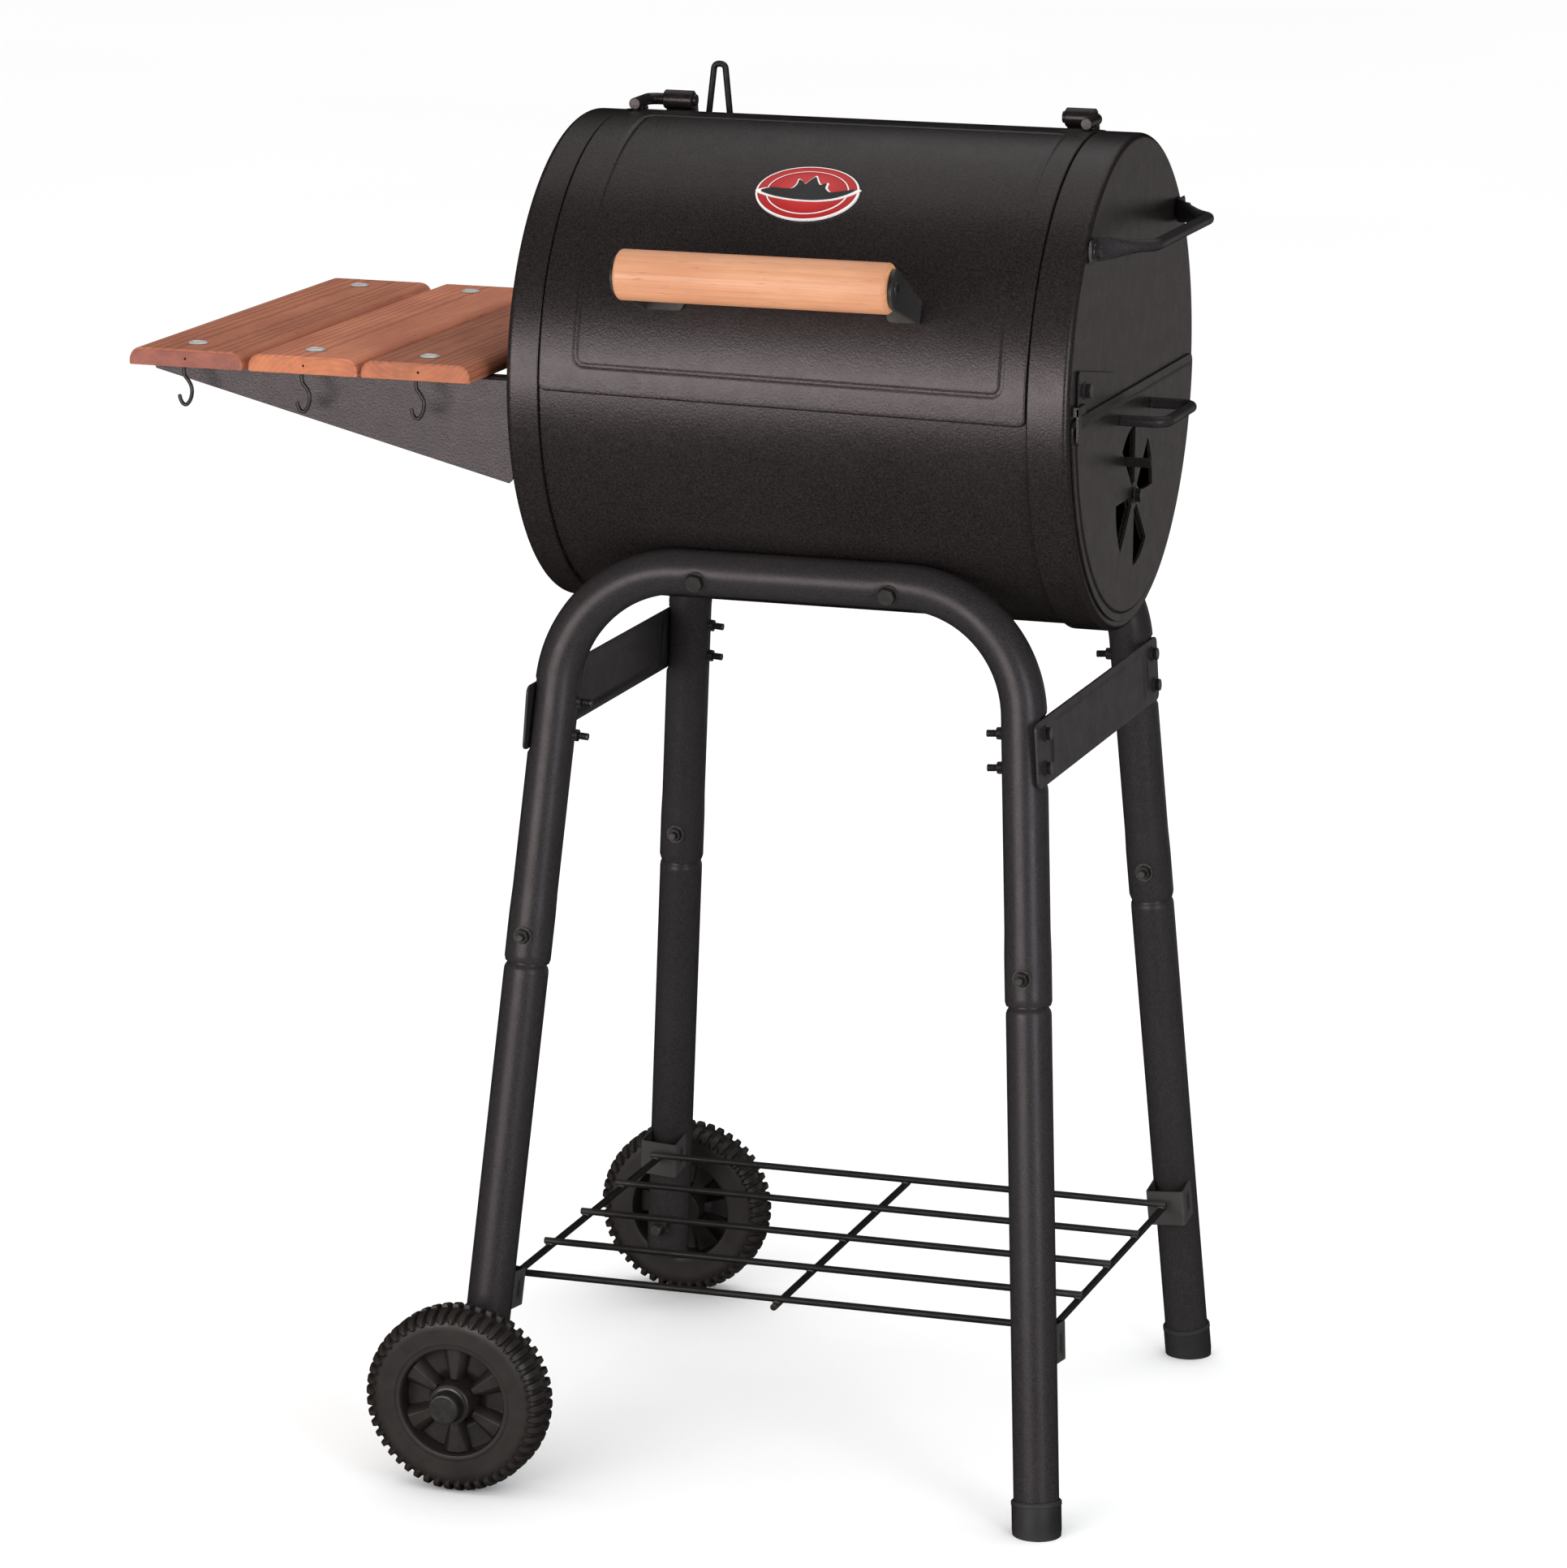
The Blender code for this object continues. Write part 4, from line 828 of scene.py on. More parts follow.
def end_cap(side):
    """Pressed end: flat face, rounded edge, band with a rolled rim, step and the lip inside the shell."""
    edge = 0.0055
    middle_r = 0.12
    band_end = (LID_X[1] if side > 0 else -LID_X[0]) + 0.001
    lip_r = SHELL_R - SHEET - 0.0008
    lip_end = band_end - LIP_DEPTH
    profile = [(CAP_X, 0.0), (CAP_X, middle_r), (CAP_X, BAND_R - 2 * edge)]
    profile += [(CAP_X - edge + x, BAND_R - edge + r) for x, r in arc(edge, 0, 90, 8)]
    profile += [
        (band_end + 0.0008, BAND_R), (band_end, BAND_R - 0.0006), (band_end, lip_r), (lip_end, lip_r),
        (lip_end, lip_r - SHEET), (band_end + SHEET, lip_r - SHEET), (band_end + SHEET, BAND_R - SHEET),
        (CAP_X - edge, BAND_R - SHEET), (CAP_X - 0.0032, BAND_R - 0.0032), (CAP_X - SHEET, BAND_R - edge),
        (CAP_X - SHEET, middle_r), (CAP_X - SHEET, 0.0),
    ]
    return spin([(side * x, r) for x, r in profile], on_barrel, 192)


def pin_bore(low, high, radius, place, steps):
    """A cutter for a round hole from low to high along a line."""
    return spin([(low, 0.0), (low, radius), (high, radius), (high, 0.0)], place, steps)


def wedge_cutters(centre_z, low, high):
    parts = []
    for start in VENT_STARTS:
        outline = arc(VENT_R[1], start, start + VENT_SPAN, 12, (0.0, centre_z))
        outline += arc(VENT_R[0], start + VENT_SPAN, start, 5, (0.0, centre_z))
        parts.append(prism(outline, "x", low, high))
    parts.append(pin_bore(low, high, VENT_BORE_R, about((0, 0, centre_z), (1, 0, 0)), 20))
    return join(*parts)


def half_disc(radius, top_z, corner, steps=96):
    """Outline in (y, z) of a disc's part below a straight top edge, with round top corners."""
    reach = sqrt((radius - corner) ** 2 - (top_z - corner - AXIS_Z) ** 2)
    centre_z = top_z - corner
    start = atan2(centre_z - AXIS_Z, reach)
    rim = degrees(start)
    outline = arc(corner, 90, rim, 6, (reach, centre_z))
    outline += arc(radius, rim, -180 - rim, steps, (0.0, AXIS_Z))[1:-1]
    outline += arc(corner, 180 - rim, 90, 6, (-reach, centre_z))
    return outline


def layered(outlines):
    """Joins outlines of (x, points) into one closed body, first and last closed flat."""
    bm = bmesh.new()
    return lofted(bm, [[bm.verts.new((x, y, z)) for y, z in points] for x, points in outlines])


def barrel():
    cap = carved(end_cap(-1), wedge_cutters(EXHAUST_Z, -CAP_X - 0.006, -CAP_X + 0.006))
    make("end_cap_left", cap, PAINT, stands_for="left_end_cap", smooth=30)
    opening = prism(half_disc(OPENING_R, OPENING_TOP_Z, 0.004), "x", CAP_X - 0.007, CAP_X + 0.007)
    make("end_cap_right", carved(end_cap(1), opening), PAINT, stands_for="right_end_cap", smooth=30)
    stations = (LID_X[0], -0.1, 0.1, LID_X[1])
    section = [(x, SHELL_R) for x in stations] + [(x, SHELL_R - SHEET) for x in reversed(stations)]
    shell = spin(section, on_barrel, 168, *SHELL_ANGLES, ring=True)
    make("barrel_shell", shell, PAINT, stands_for="body_shell", smooth=30)


def groove_depth(x, s, low, high, corner, width, depth):
    """How far a pressed line round a rounded rectangle sinks at (x, s)."""
    middle = ((low[0] + high[0]) / 2, (low[1] + high[1]) / 2)
    half = ((high[0] - low[0]) / 2 - corner, (high[1] - low[1]) / 2 - corner)
    qx = abs(x - middle[0]) - half[0]
    qs = abs(s - middle[1]) - half[1]
    distance = hypot(max(qx, 0.0), max(qs, 0.0)) + min(max(qx, qs), 0.0) - corner
    share = abs(distance) / width
    return depth * (cos(share * pi) + 1) / 2 if share < 1.0 else 0.0


def lid():
    """Rolled lid sheet with a pressed line round its panel and rounded lower corners."""
    panel_low = (-0.173, LID_R * radians(5.05))
    panel_high = (0.177, LID_R * radians(84.0))
    panel_corner, groove, groove_sink = 0.008, 0.0028, 0.0007
    corner = 0.006
    skew_x = 0.011
    step, fine, reach = 0.0045, 0.0014, 0.011
    hem_steps = [LID_HEM * share for share in (0.05, 0.2, 0.45, 0.75, 1.0)]
    s_low, s_high = (LID_R * radians(angle) for angle in LID_ANGLES)
    xs = spread(*LID_X, step, (*LID_X, panel_low[0], panel_high[0]), fine, reach)
    xs = sorted(xs + [LID_X[0] + gap for gap in hem_steps] + [LID_X[1] - gap for gap in hem_steps])
    ss = spread(s_low, s_high, step, (panel_low[1], panel_high[1]), fine, reach)
    ss = sorted(ss + [s_low + gap for gap in hem_steps])

    def point(s, x, inset):
        gap = min(x - LID_X[0], LID_X[1] - x)
        rise = corner - sqrt(max(0.0, corner ** 2 - (corner - gap) ** 2)) if gap < corner else 0.0
        share = (s - s_low) / (s_high - s_low)
        skew = LID_SKEW * (x - skew_x) * (1 - share) ** 2
        at = s + rise * (1 - share)
        sink = groove_depth(x, at, panel_low, panel_high, panel_corner, groove, groove_sink)
        rim = min(gap, s - s_low, LID_HEM)
        sink += LID_HEM - sqrt(LID_HEM ** 2 - (LID_HEM - rim) ** 2)
        return on_barrel(x, LID_R - inset - sink, degrees((at + skew) / LID_R))

    sheet = sheet_body(ss, xs, (0.0, LID_SHEET), point)
    make("lid_sheet", sheet, PAINT, "lid", "lid_shell", smooth=45, weighted=False)


def badge():
    """Oval badge: silver rim, red band, white ring, red field and a flame between two swooshes."""
    underside = 0.0004
    around = 96
    # (share of the oval, height above the lid, material of the strip that ends here)
    steps = [
        (1.0, underside, 1), (1.0, 0.0022, 1), (0.99, 0.0026, 1), (0.962, 0.0026, 1), (0.955, 0.0021, 0),
        (0.80, 0.0021, 0), (0.795, 0.0025, 1), (0.775, 0.0025, 1), (0.770, 0.0020, 0), (0.60, 0.0021, 0),
        (0.40, 0.0022, 0), (0.20, 0.0022, 0),
    ]
    bm = bmesh.new()

    def place(x, s, height):
        return on_barrel(BADGE_X + x, LID_R + height, BADGE_ANGLE + degrees(s / LID_R))

    def oval(scale, height, turn):
        return place(BADGE_HALF[0] * scale * cos(turn), BADGE_HALF[1] * scale * sin(turn), height)

    def strip(corners, index):
        bm.faces.new(corners).material_index = index

    before = None
    for scale, height, index in steps:
        ring = [bm.verts.new(oval(scale, height, 2 * pi * k / around)) for k in range(around)]
        if before:
            for k in range(around):
                strip((before[k], before[(k + 1) % around], ring[(k + 1) % around], ring[k]), index)
        else:
            first = ring
        before = ring
    tip = bm.verts.new(place(0, 0, steps[-1][1]))
    centre = sum((vert.co for vert in first), Vector()) / around
    outward = Vector((0, centre.y, centre.z - AXIS_Z)).normalized()
    under = bm.verts.new(Vector((centre.x, 0, AXIS_Z)) + outward * (LID_R + underside))
    for k in range(around):
        strip((before[k], before[(k + 1) % around], tip), 0)
        strip((first[(k + 1) % around], first[k], under), 1)
    make("badge_plate", bm, BADGE_RED, "lid", "badge", more=(BADGE_WHITE,), smooth=50, weighted=False)

    flame = [
        (-0.0400, -0.0020), (-0.0270, -0.0066), (-0.0100, -0.0092), (0.0070, -0.0096), (0.0220, -0.0072),
        (0.0330, -0.0022), (0.0410, 0.0042), (0.0290, 0.0012), (0.0185, -0.0014), (0.0136, 0.0036),
        (0.0144, 0.0094), (0.0090, 0.0060), (0.0060, 0.0108), (0.0036, 0.0164), (-0.0004, 0.0112),
        (-0.0034, 0.0062), (-0.0056, 0.0100), (-0.0096, 0.0122), (-0.0094, 0.0066), (-0.0120, 0.0016),
        (-0.0200, 0.0010), (-0.0300, 0.0022),
    ]
    for name, grow, low, high, finish in (
        ("badge_flame_edge", 1.12, 0.0021, 0.0030, BADGE_WHITE),
        ("badge_flame", 1.0, 0.0030, 0.0036, BADGE_BLACK),
    ):
        outline = smoothed_outline([(x * grow, s * grow + 0.0006 * (grow - 1)) for x, s in flame], 3)
        shape = prism(outline, "z", low, high)
        bmesh.ops.triangulate(shape, faces=shape.faces)
        for vert in shape.verts:
            vert.co = place(vert.co.x, vert.co.y, vert.co.z)
        make(name, shape, finish, "lid", smooth=30, weighted=False)


def smoothed_outline(points, rounds):
    """Chaikin corner cutting."""
    for _ in range(rounds):
        cut = []
        for index, (x, y) in enumerate(points):
            nx, ny = points[(index + 1) % len(points)]
            cut += [(x * 0.8 + nx * 0.2, y * 0.8 + ny * 0.2), (x * 0.2 + nx * 0.8, y * 0.2 + ny * 0.8)]
        points = cut
    return points


def handle_matrix():
    """Takes (x, tangent, radial) coordinates onto the barrel at the handle's angle."""
    return Matrix.Translation((0, 0, AXIS_Z)) @ Matrix.Rotation(radians(90 - HANDLE_ANGLE), 4, "X")


def handle_strap(face, side, foot):
    """A strip bent at the lid, tapering towards its foot and round where it covers the dowel's end."""
    tip = HANDLE_AXIS_R + STRAP_HALF[1] - 0.0025
    foot_r = LID_R + GAP
    bend_r = 0.0045 - STRAP / 2
    toe = 0.005
    middle = face + side * STRAP / 2
    line = [(middle, tip - 0.036 + 0.036 * sin(pi / 2 * k / 14)) for k in range(14, -1, -1)]
    line += [(middle, r) for r in (0.250, 0.235, 0.220)]
    line += [(middle - side * (bend_r - bend_r * cos(radians(k * 15))),
              foot_r + STRAP / 2 + bend_r - bend_r * sin(radians(k * 15))) for k in range(7)]
    line += [(face - side * share * foot, foot_r + STRAP / 2) for share in (0.3, 0.6, 0.8, 0.9, 0.96, 1.0)]
    section = [(-1, -0.75), (-1, 0.75), (-0.96, 1), (0.96, 1),
               (1, 0.75), (1, -0.75), (0.96, -1), (-0.96, -1)]
    bm = bmesh.new()
    rings = []
    for index, (x, r) in enumerate(line):
        before, after = line[max(index - 1, 0)], line[min(index + 1, len(line) - 1)]
        along = Vector((after[0] - before[0], after[1] - before[1])).normalized()
        out = Vector((along.y, -along.x)) * STRAP / 2
        half = STRAP_HALF[0] + (STRAP_HALF[1] - STRAP_HALF[0]) * max(0.0, min(1.0, (r - 0.205) / 0.068))
        to_tip = tip - r
        if to_tip < STRAP_HALF[1]:
            half = min(half, sqrt(max(0.0, STRAP_HALF[1] ** 2 - (STRAP_HALF[1] - to_tip) ** 2)) + 0.0006)
        to_end = foot - side * (face - x)
        if r < foot_r + STRAP and to_end < toe:
            half -= toe - sqrt(max(0.0, toe ** 2 - (toe - to_end) ** 2))
        ring = []
        for y_share, t_share in section:
            y = half * y_share
            curve = sqrt(foot_r ** 2 - y ** 2) - foot_r + 0.0004 if r < foot_r + 0.012 else 0.0004
            ring.append(bm.verts.new((x + out.x * t_share, y, r + out.y * t_share + curve)))
        rings.append(ring)
    return lofted(bm, rings)


def lid_handle():
    low, high = DOWEL_X
    centre = on_barrel(0.0, HANDLE_AXIS_R, HANDLE_ANGLE)
    edge = 0.0035
    profile = [(low, 0.0), (low, DOWEL_R * 0.5), (low, DOWEL_R - edge)]
    profile += [(low + edge - x, DOWEL_R - edge + r) for r, x in arc(edge, 0, 90, 6)][::-1][1:]
    profile += [(low + (high - low) * k / 12, DOWEL_R) for k in range(1, 12)]
    profile += [(high - edge + x, DOWEL_R - edge + r) for x, r in arc(edge, 90, 0, 6)][:-1]
    profile += [(high, DOWEL_R - edge), (high, DOWEL_R * 0.5), (high, 0.0)]
    dowel = spin(profile, about((0, centre.y, centre.z), (1, 0, 0)), 64)
    make("handle_dowel", dowel, DOWEL_WOOD, "lid", "lid_handle", smooth=35)
    under = STRAP + GAP
    for name, end_x, side, foot in zip(("left", "right"), DOWEL_X, (-1, 1), STRAP_FEET):
        strap = moved(handle_strap(end_x + side * GAP, side, foot), handle_matrix())
        make("handle_strap_" + name, strap, BLACK_STEEL, "lid", "handle_bracket_" + name, smooth=35)
        rings = [(under, 0.0052), (under + 0.0003, 0.0056), (under + 0.0010, 0.0050),
                 (under + 0.0016, 0.0032), (under + 0.0018, 0.0012)]
        screw = fastener(rings, (end_x, centre.y, centre.z), (side, 0, 0), 32)
        screw = cross_cut(screw, (-0.0008, -0.0030, -0.0008), (0.0008, 0.0030, 0.0008),
                          (end_x + side * (under + 0.0018), centre.y, centre.z), "X", 0.4)
        make("handle_screw_" + name, screw, BOLT_STEEL, "lid", smooth=30)


def hinges():
    saddle_low = AXIS_Z + sqrt(SHELL_R ** 2 - 0.042 ** 2) + GAP
    bore = 0.0053
    half = SLEEVE_LENGTH / 2
    rod_top = AXIS_Z + LID_R
    for side, name, x, rod_x in zip((-1, 1), ("left", "right"), SLEEVE_X, HINGE_ROD_X):
        section = [(-half, SLEEVE_R - 0.0008), (-half + 0.0008, SLEEVE_R), (half - 0.0008, SLEEVE_R),
                   (half, SLEEVE_R - 0.0008), (half, bore), (-half, bore)]
        sleeve = spin(section, about((x, HINGE_Y, HINGE_Z), (1, 0, 0)), 40, ring=True)
        outline = [(HINGE_Y + 0.0030, HINGE_Z - 0.0065), (HINGE_Y + 0.0105, HINGE_Z - 0.0045),
                   (HINGE_Y + 0.0120, saddle_low + 0.002), (HINGE_Y + 0.0135, saddle_low),
                   (HINGE_Y + 0.0035, saddle_low)]
        foot = prism(outline, "x", x - half, x + half)
        sleeve = carved(sleeve, foot, "UNION")
        make("hinge_tube_" + name, sleeve, PAINT, stands_for="hinge_sleeve_" + name, smooth=35)
        corners = [(x - side * (half + 0.002), HINGE_Y, HINGE_Z), (rod_x, HINGE_Y, HINGE_Z),
                   (rod_x, 0.0, rod_top + HINGE_ROD_R + GAP)]
        rod = sweep(resampled(rounded_path(corners, 0.008), 0.0016), HINGE_ROD_R, 24, dome=0.0006)
        weld = []
        for k in range(5):
            spot = (rod_x + 0.0042 * sin(2.4 * k), 0.004 + 0.0045 * k, rod_top + 0.0008 - 0.00004 * k * k)
            blob = bmesh.new()
            bmesh.ops.create_icosphere(blob, subdivisions=2, radius=0.0026, matrix=Matrix.Translation(spot))
            weld.append(blob)
        make("hinge_arm_" + name, join(rod, *weld), PAINT, "lid", "hinge_rod_" + name, smooth=45)


def rest_loop():
    """Wire hoop behind the lid, which the open lid leans on."""
    wire_r, foot_x, top_x = 0.0026, 0.0095, 0.0046
    foot_z = AXIS_Z + sqrt(SHELL_R ** 2 - LOOP_Y ** 2) + 0.0010
    top = LOOP_TOP_Z - 0.0029
    y = LOOP_Y + 0.0006
    corners = [(LOOP_X - foot_x, y, foot_z), (LOOP_X - top_x, y, top), (LOOP_X + top_x, y, top),
               (LOOP_X + foot_x, y, foot_z)]
    path = resampled(rounded_path(corners, 0.0042, 14), 0.0012)
    loop = sweep(path, wire_r, 20, dome=0.0006)
    make("lid_stop_loop", loop, BLACK_STEEL, stands_for="lid_rest_loop", smooth=60)


def lift_handle():
    """Bar bent to a U, its ends pressed flat and bolted to the right end cap."""
    face = CAP_X + GAP
    centre_x = face + 0.0014
    foot_y = LIFT_FOOT_Y - 0.012
    end_y = LIFT_FOOT_Y + 0.010
    flat_foot, flat_arm, widened = 0.28, 0.72, 0.95
    corners = [
        (centre_x, -end_y, LIFT_Z), (centre_x, -foot_y, LIFT_Z), (LIFT_X, -LIFT_ROD_Y, LIFT_Z),
        (LIFT_X, LIFT_ROD_Y, LIFT_Z), (centre_x, foot_y, LIFT_Z), (centre_x, end_y, LIFT_Z),
    ]
    path = resampled(rounded_path(corners, [0.007, 0.012, 0.012, 0.007], 12), 0.002)
    bm = sweep(path, LIFT_R, 28, dome=0.0006)
    for vert in bm.verts:
        near = -1 if vert.co.y < 0 else 1
        start = Vector((LIFT_X, near * LIFT_ROD_Y, LIFT_Z))
        end = Vector((centre_x, near * foot_y, LIFT_Z))
        line = (end - start).normalized()
        share = max(0.0, min(1.0, ((vert.co - start).dot(line) - 0.012) / ((end - start).length - 0.014)))
        share = share * share * (3 - 2 * share)
        if abs(vert.co.y) > foot_y:
            vert.co.x = centre_x + (vert.co.x - centre_x) * flat_foot
            share = 1.0
        else:
            foot = start + line * (vert.co - start).dot(line)
            across = Vector((line.y, -line.x, 0))
            offset = (vert.co - foot).dot(across)
            vert.co -= across * offset * flat_arm * share
        vert.co.z = LIFT_Z + (vert.co.z - LIFT_Z) * (1 + widened * share)
        vert.co.x = max(vert.co.x, face)
    make("end_handle", bm, TUBE_PAINT, stands_for="lift_handle", smooth=50)
    rings = [(0.0, 0.0062), (0.0012, 0.0062)] + hex_rings(0.0012, 0.0056, 0.0056)
    for name, side in (("front", -1), ("rear", 1)):
        place = (face + 0.0029, side * (LIFT_FOOT_Y + 0.001), LIFT_Z)
        bolt("end_handle_bolt_" + name, rings, place, (1, 0, 0))


def guide_tab():
    """Small bolted plate whose tongue reaches over the drawer's front corner."""
    low = CAP_X + GAP
    plate_top = low + 0.0020
    outline = [(-0.1760, 0.8890), (-0.1780, 0.8900), (-0.1780, 0.9200), (-0.1755, 0.9240), (-0.0730, 0.9085),
               (-0.0705, 0.9068), (-0.0735, 0.9050), (-0.1560, 0.8905)]
    plate = softened(prism(outline, "x", low, plate_top), 0.0004, 1, 50)
    outer, inner = -0.1895, -0.1795
    tongue = prism([(outer, 0.8960), (inner, 0.8960), (inner, 0.8760), (-0.1820, 0.8660), (-0.1880, 0.8670),
                    (outer, 0.8700)], "x", low + 0.0034, low + 0.0052)
    neck = prism([(outer, 0.8900), (-0.1660, 0.8900), (-0.1660, 0.8970), (outer, 0.8970)],
                 "x", low + 0.0002, low + 0.0050)
    make("drawer_guide", join(plate, tongue, neck), PAINT, smooth=35)
    rings = [(0.0, 0.0070), (0.0010, 0.0070)] + hex_rings(0.0010, 0.0050, 0.0062)
    bolt("drawer_guide_bolt", rings, (plate_top, -0.158, 0.906), (1, 0, 0))


# ---------------------------------------------------------------- drawer and vents

def drawer():
    low = CAP_X + GAP
    # (inset from the plate's edge, height above its back)
    rises = ((0.0, 0.0), (0.0, SHEET - 0.0003), (0.0003, SHEET), (0.0058, SHEET), (0.0066, SHEET + 0.0002),
             (0.0078, SHEET + 0.0008), (0.0088, SHEET + 0.0011), (0.0098, SHEET + PANEL_RISE))
    bm = layered([(low + rise, half_disc(PLATE_R - inset, PLATE_TOP_Z - inset, max(0.0015, 0.008 - inset)))
                  for inset, rise in rises])
    plate = carved(bm, wedge_cutters(VENT_Z, low - 0.005, low + 0.010))
    make("drawer_plate", plate, PAINT, "ash_drawer", "drawer_front", smooth=32)
    face = low + SHEET + PANEL_RISE + GAP
    corners = [(face, -PULL_HALF, PULL_Z), (face + PULL_REACH, -PULL_HALF, PULL_Z),
               (face + PULL_REACH, PULL_HALF, PULL_Z), (face, PULL_HALF, PULL_Z)]
    bar = sweep(resampled(rounded_path(corners, 0.012, 12), 0.0015), 0.0045, 24)
    make("drawer_pull", bar, TUBE_PAINT, "ash_drawer", "drawer_handle", smooth=50)
    rings = [(-0.0090, 0.0030), (-0.0085, 0.0034), (-0.0075, 0.0034)]
    rings += hex_rings(-0.0074, -0.0038, 0.0054, True, True) + [(-0.0038, 0.0032), (0.0043, 0.0032)]
    rings += [(0.0043, 0.0072), (0.0052, 0.0072)] + hex_rings(0.0052, 0.0095, 0.0060)
    bolt("draft_pivot_bolt", rings, (CAP_X, 0, VENT_Z), (1, 0, 0), "draft_damper_bolt", "ash_drawer")


def vent_rotor(name, body, node, centre_z, face_x, outward):
    """Four blades on a hub, behind the openings, with a finger tab that reaches out through one of them."""
    blade, tab_r, tab_reach = 0.0010, 0.042, 0.024
    far = face_x - outward * blade
    outline = []
    for start in VENT_STARTS:
        outline += arc(VENT_R[0] + 0.004, start + 2, start + VENT_SPAN - 6, 8, (0.0, centre_z))
        outline += arc(VENT_R[1] + 0.003, start + VENT_SPAN - 3, start + 89, 14, (0.0, centre_z))
    rotor = prism(outline, "x", *sorted((face_x, far)))
    rotor = carved(rotor, pin_bore(-0.01, 0.01, VENT_BORE_R, about((face_x, 0, centre_z), (1, 0, 0)), 24))
    angle = radians(90 + VENT_SPAN - 3.5)
    ends = sorted((far, face_x + outward * tab_reach))
    tab = softened(box((ends[0], -0.0009, -0.0055), (ends[1], 0.0009, 0.0055)), 0.0006, 2, 50)
    spot = Matrix.Translation((0, tab_r * cos(angle), centre_z + tab_r * sin(angle)))
    tab = moved(tab, spot @ Matrix.Rotation(angle - pi / 2, 4, "X"))
    make(name, carved(rotor, tab, "UNION"), PAINT, body, node, smooth=32)


def exhaust_rivet():
    rings = [(-0.0085, 0.0050), (-0.0062, 0.0054), (-0.0040, 0.0054), (-0.0040, 0.0031), (0.0002, 0.0031),
             (0.0002, 0.0062), (0.0012, 0.0058), (0.0022, 0.0040), (0.0027, 0.0015)]
    bolt("exhaust_rivet", rings, (-CAP_X, 0, EXHAUST_Z), (-1, 0, 0), steps=28, smooth=35)


# ---------------------------------------------------------------- stand

def frame_path(side_y):
    corners = [leg_point(-1, side_y, JOINT_Z), leg_point(-1, side_y, FRAME_TOP_Z),
               leg_point(1, side_y, FRAME_TOP_Z), leg_point(1, side_y, JOINT_Z)]
    return resampled(rounded_path(corners, BEND_R, 28), 0.0034)


def saddle_direction(side_y):
    """The way the heads of the bolts through barrel and tube point: outward and slightly down."""
    return Vector((0, side_y * cos(SADDLE_TILT), -sin(SADDLE_TILT)))


def brace_back(z):
    """Distance of a brace's back from the stand's middle plane at a height."""
    return LEG_X[0] - LEG_X[1] * z + TUBE_R + GAP - BRACE_SUNK


def upper_frames():
    for name, side_y in (("front", -1), ("rear", 1)):
        path = frame_path(side_y)
        total = sum((b - a).length for a, b in zip(path, path[1:]))

        def size(at):
            near = min(at, total - at)
            flare = (FLARE_R - TUBE_R) * max(0.0, min(1.0, (0.060 - near) / 0.02))
            lip = 0.0010 * max(0.0, 1 - near / 0.0026) ** 2
            return TUBE_R + flare - lip

        tube = sweep(path, size, 40, wall=TUBE_WALL)
        top = leg_point(1, side_y, FRAME_TOP_Z)
        for side_x in (-1, 1):
            dented(tube, (side_x * SADDLE_X, top.y, top.z), saddle_direction(side_y), 0.013, 0.0016)
            dented(tube, leg_point(side_x, side_y, LEG_BOLT_Z), (0, -1, 0), 0.008, 0.0005)
            for z in BRACE_BOLT_Z:
                place = leg_point(side_x, side_y, z)
                dented(tube, place, (-side_x, 0, 0), 0.011, 0.0022)
                dented(tube, place, (side_x, 0, 0), 0.012, 0.0008)
        for vert in tube.verts:
            side_x = 1 if vert.co.x > STAND_X else -1
            past = max(BRACE_Z[0] - vert.co.z, vert.co.z - BRACE_Z[1], 0.0)
            limit = brace_back(vert.co.z) + past - GAP
            vert.co.x = STAND_X + side_x * min(abs(vert.co.x - STAND_X), limit)
        make("stand_hoop_" + name, tube, TUBE_PAINT, stands_for="upper_frame_" + name, smooth=60,
             weighted=False)
    saddle_bolts()


def saddle_bolts():
    """Bolts through frame and barrel, with the nuts inside."""
    head = TUBE_R - 0.0010
    nut = -SADDLE_INSIDE
    rings = [(nut - 0.0095, 0.0032), (nut - 0.0090, 0.0037), (nut - 0.0052, 0.0037)]
    rings += hex_rings(nut - 0.0050, nut, 0.0068, True, False)
    rings += [(nut, 0.0037), (head, 0.0037), (head, 0.0084), (head + 0.0012, 0.0086)]
    rings += hex_rings(head + 0.0013, head + 0.0060, 0.0074)
    for where, side_x, side_y in CORNERS:
        top = leg_point(1, side_y, FRAME_TOP_Z)
        bolt("hoop_bolt_" + where, rings, (side_x * SADDLE_X, top.y, top.z), saddle_direction(side_y),
             "saddle_bolt_" + where)


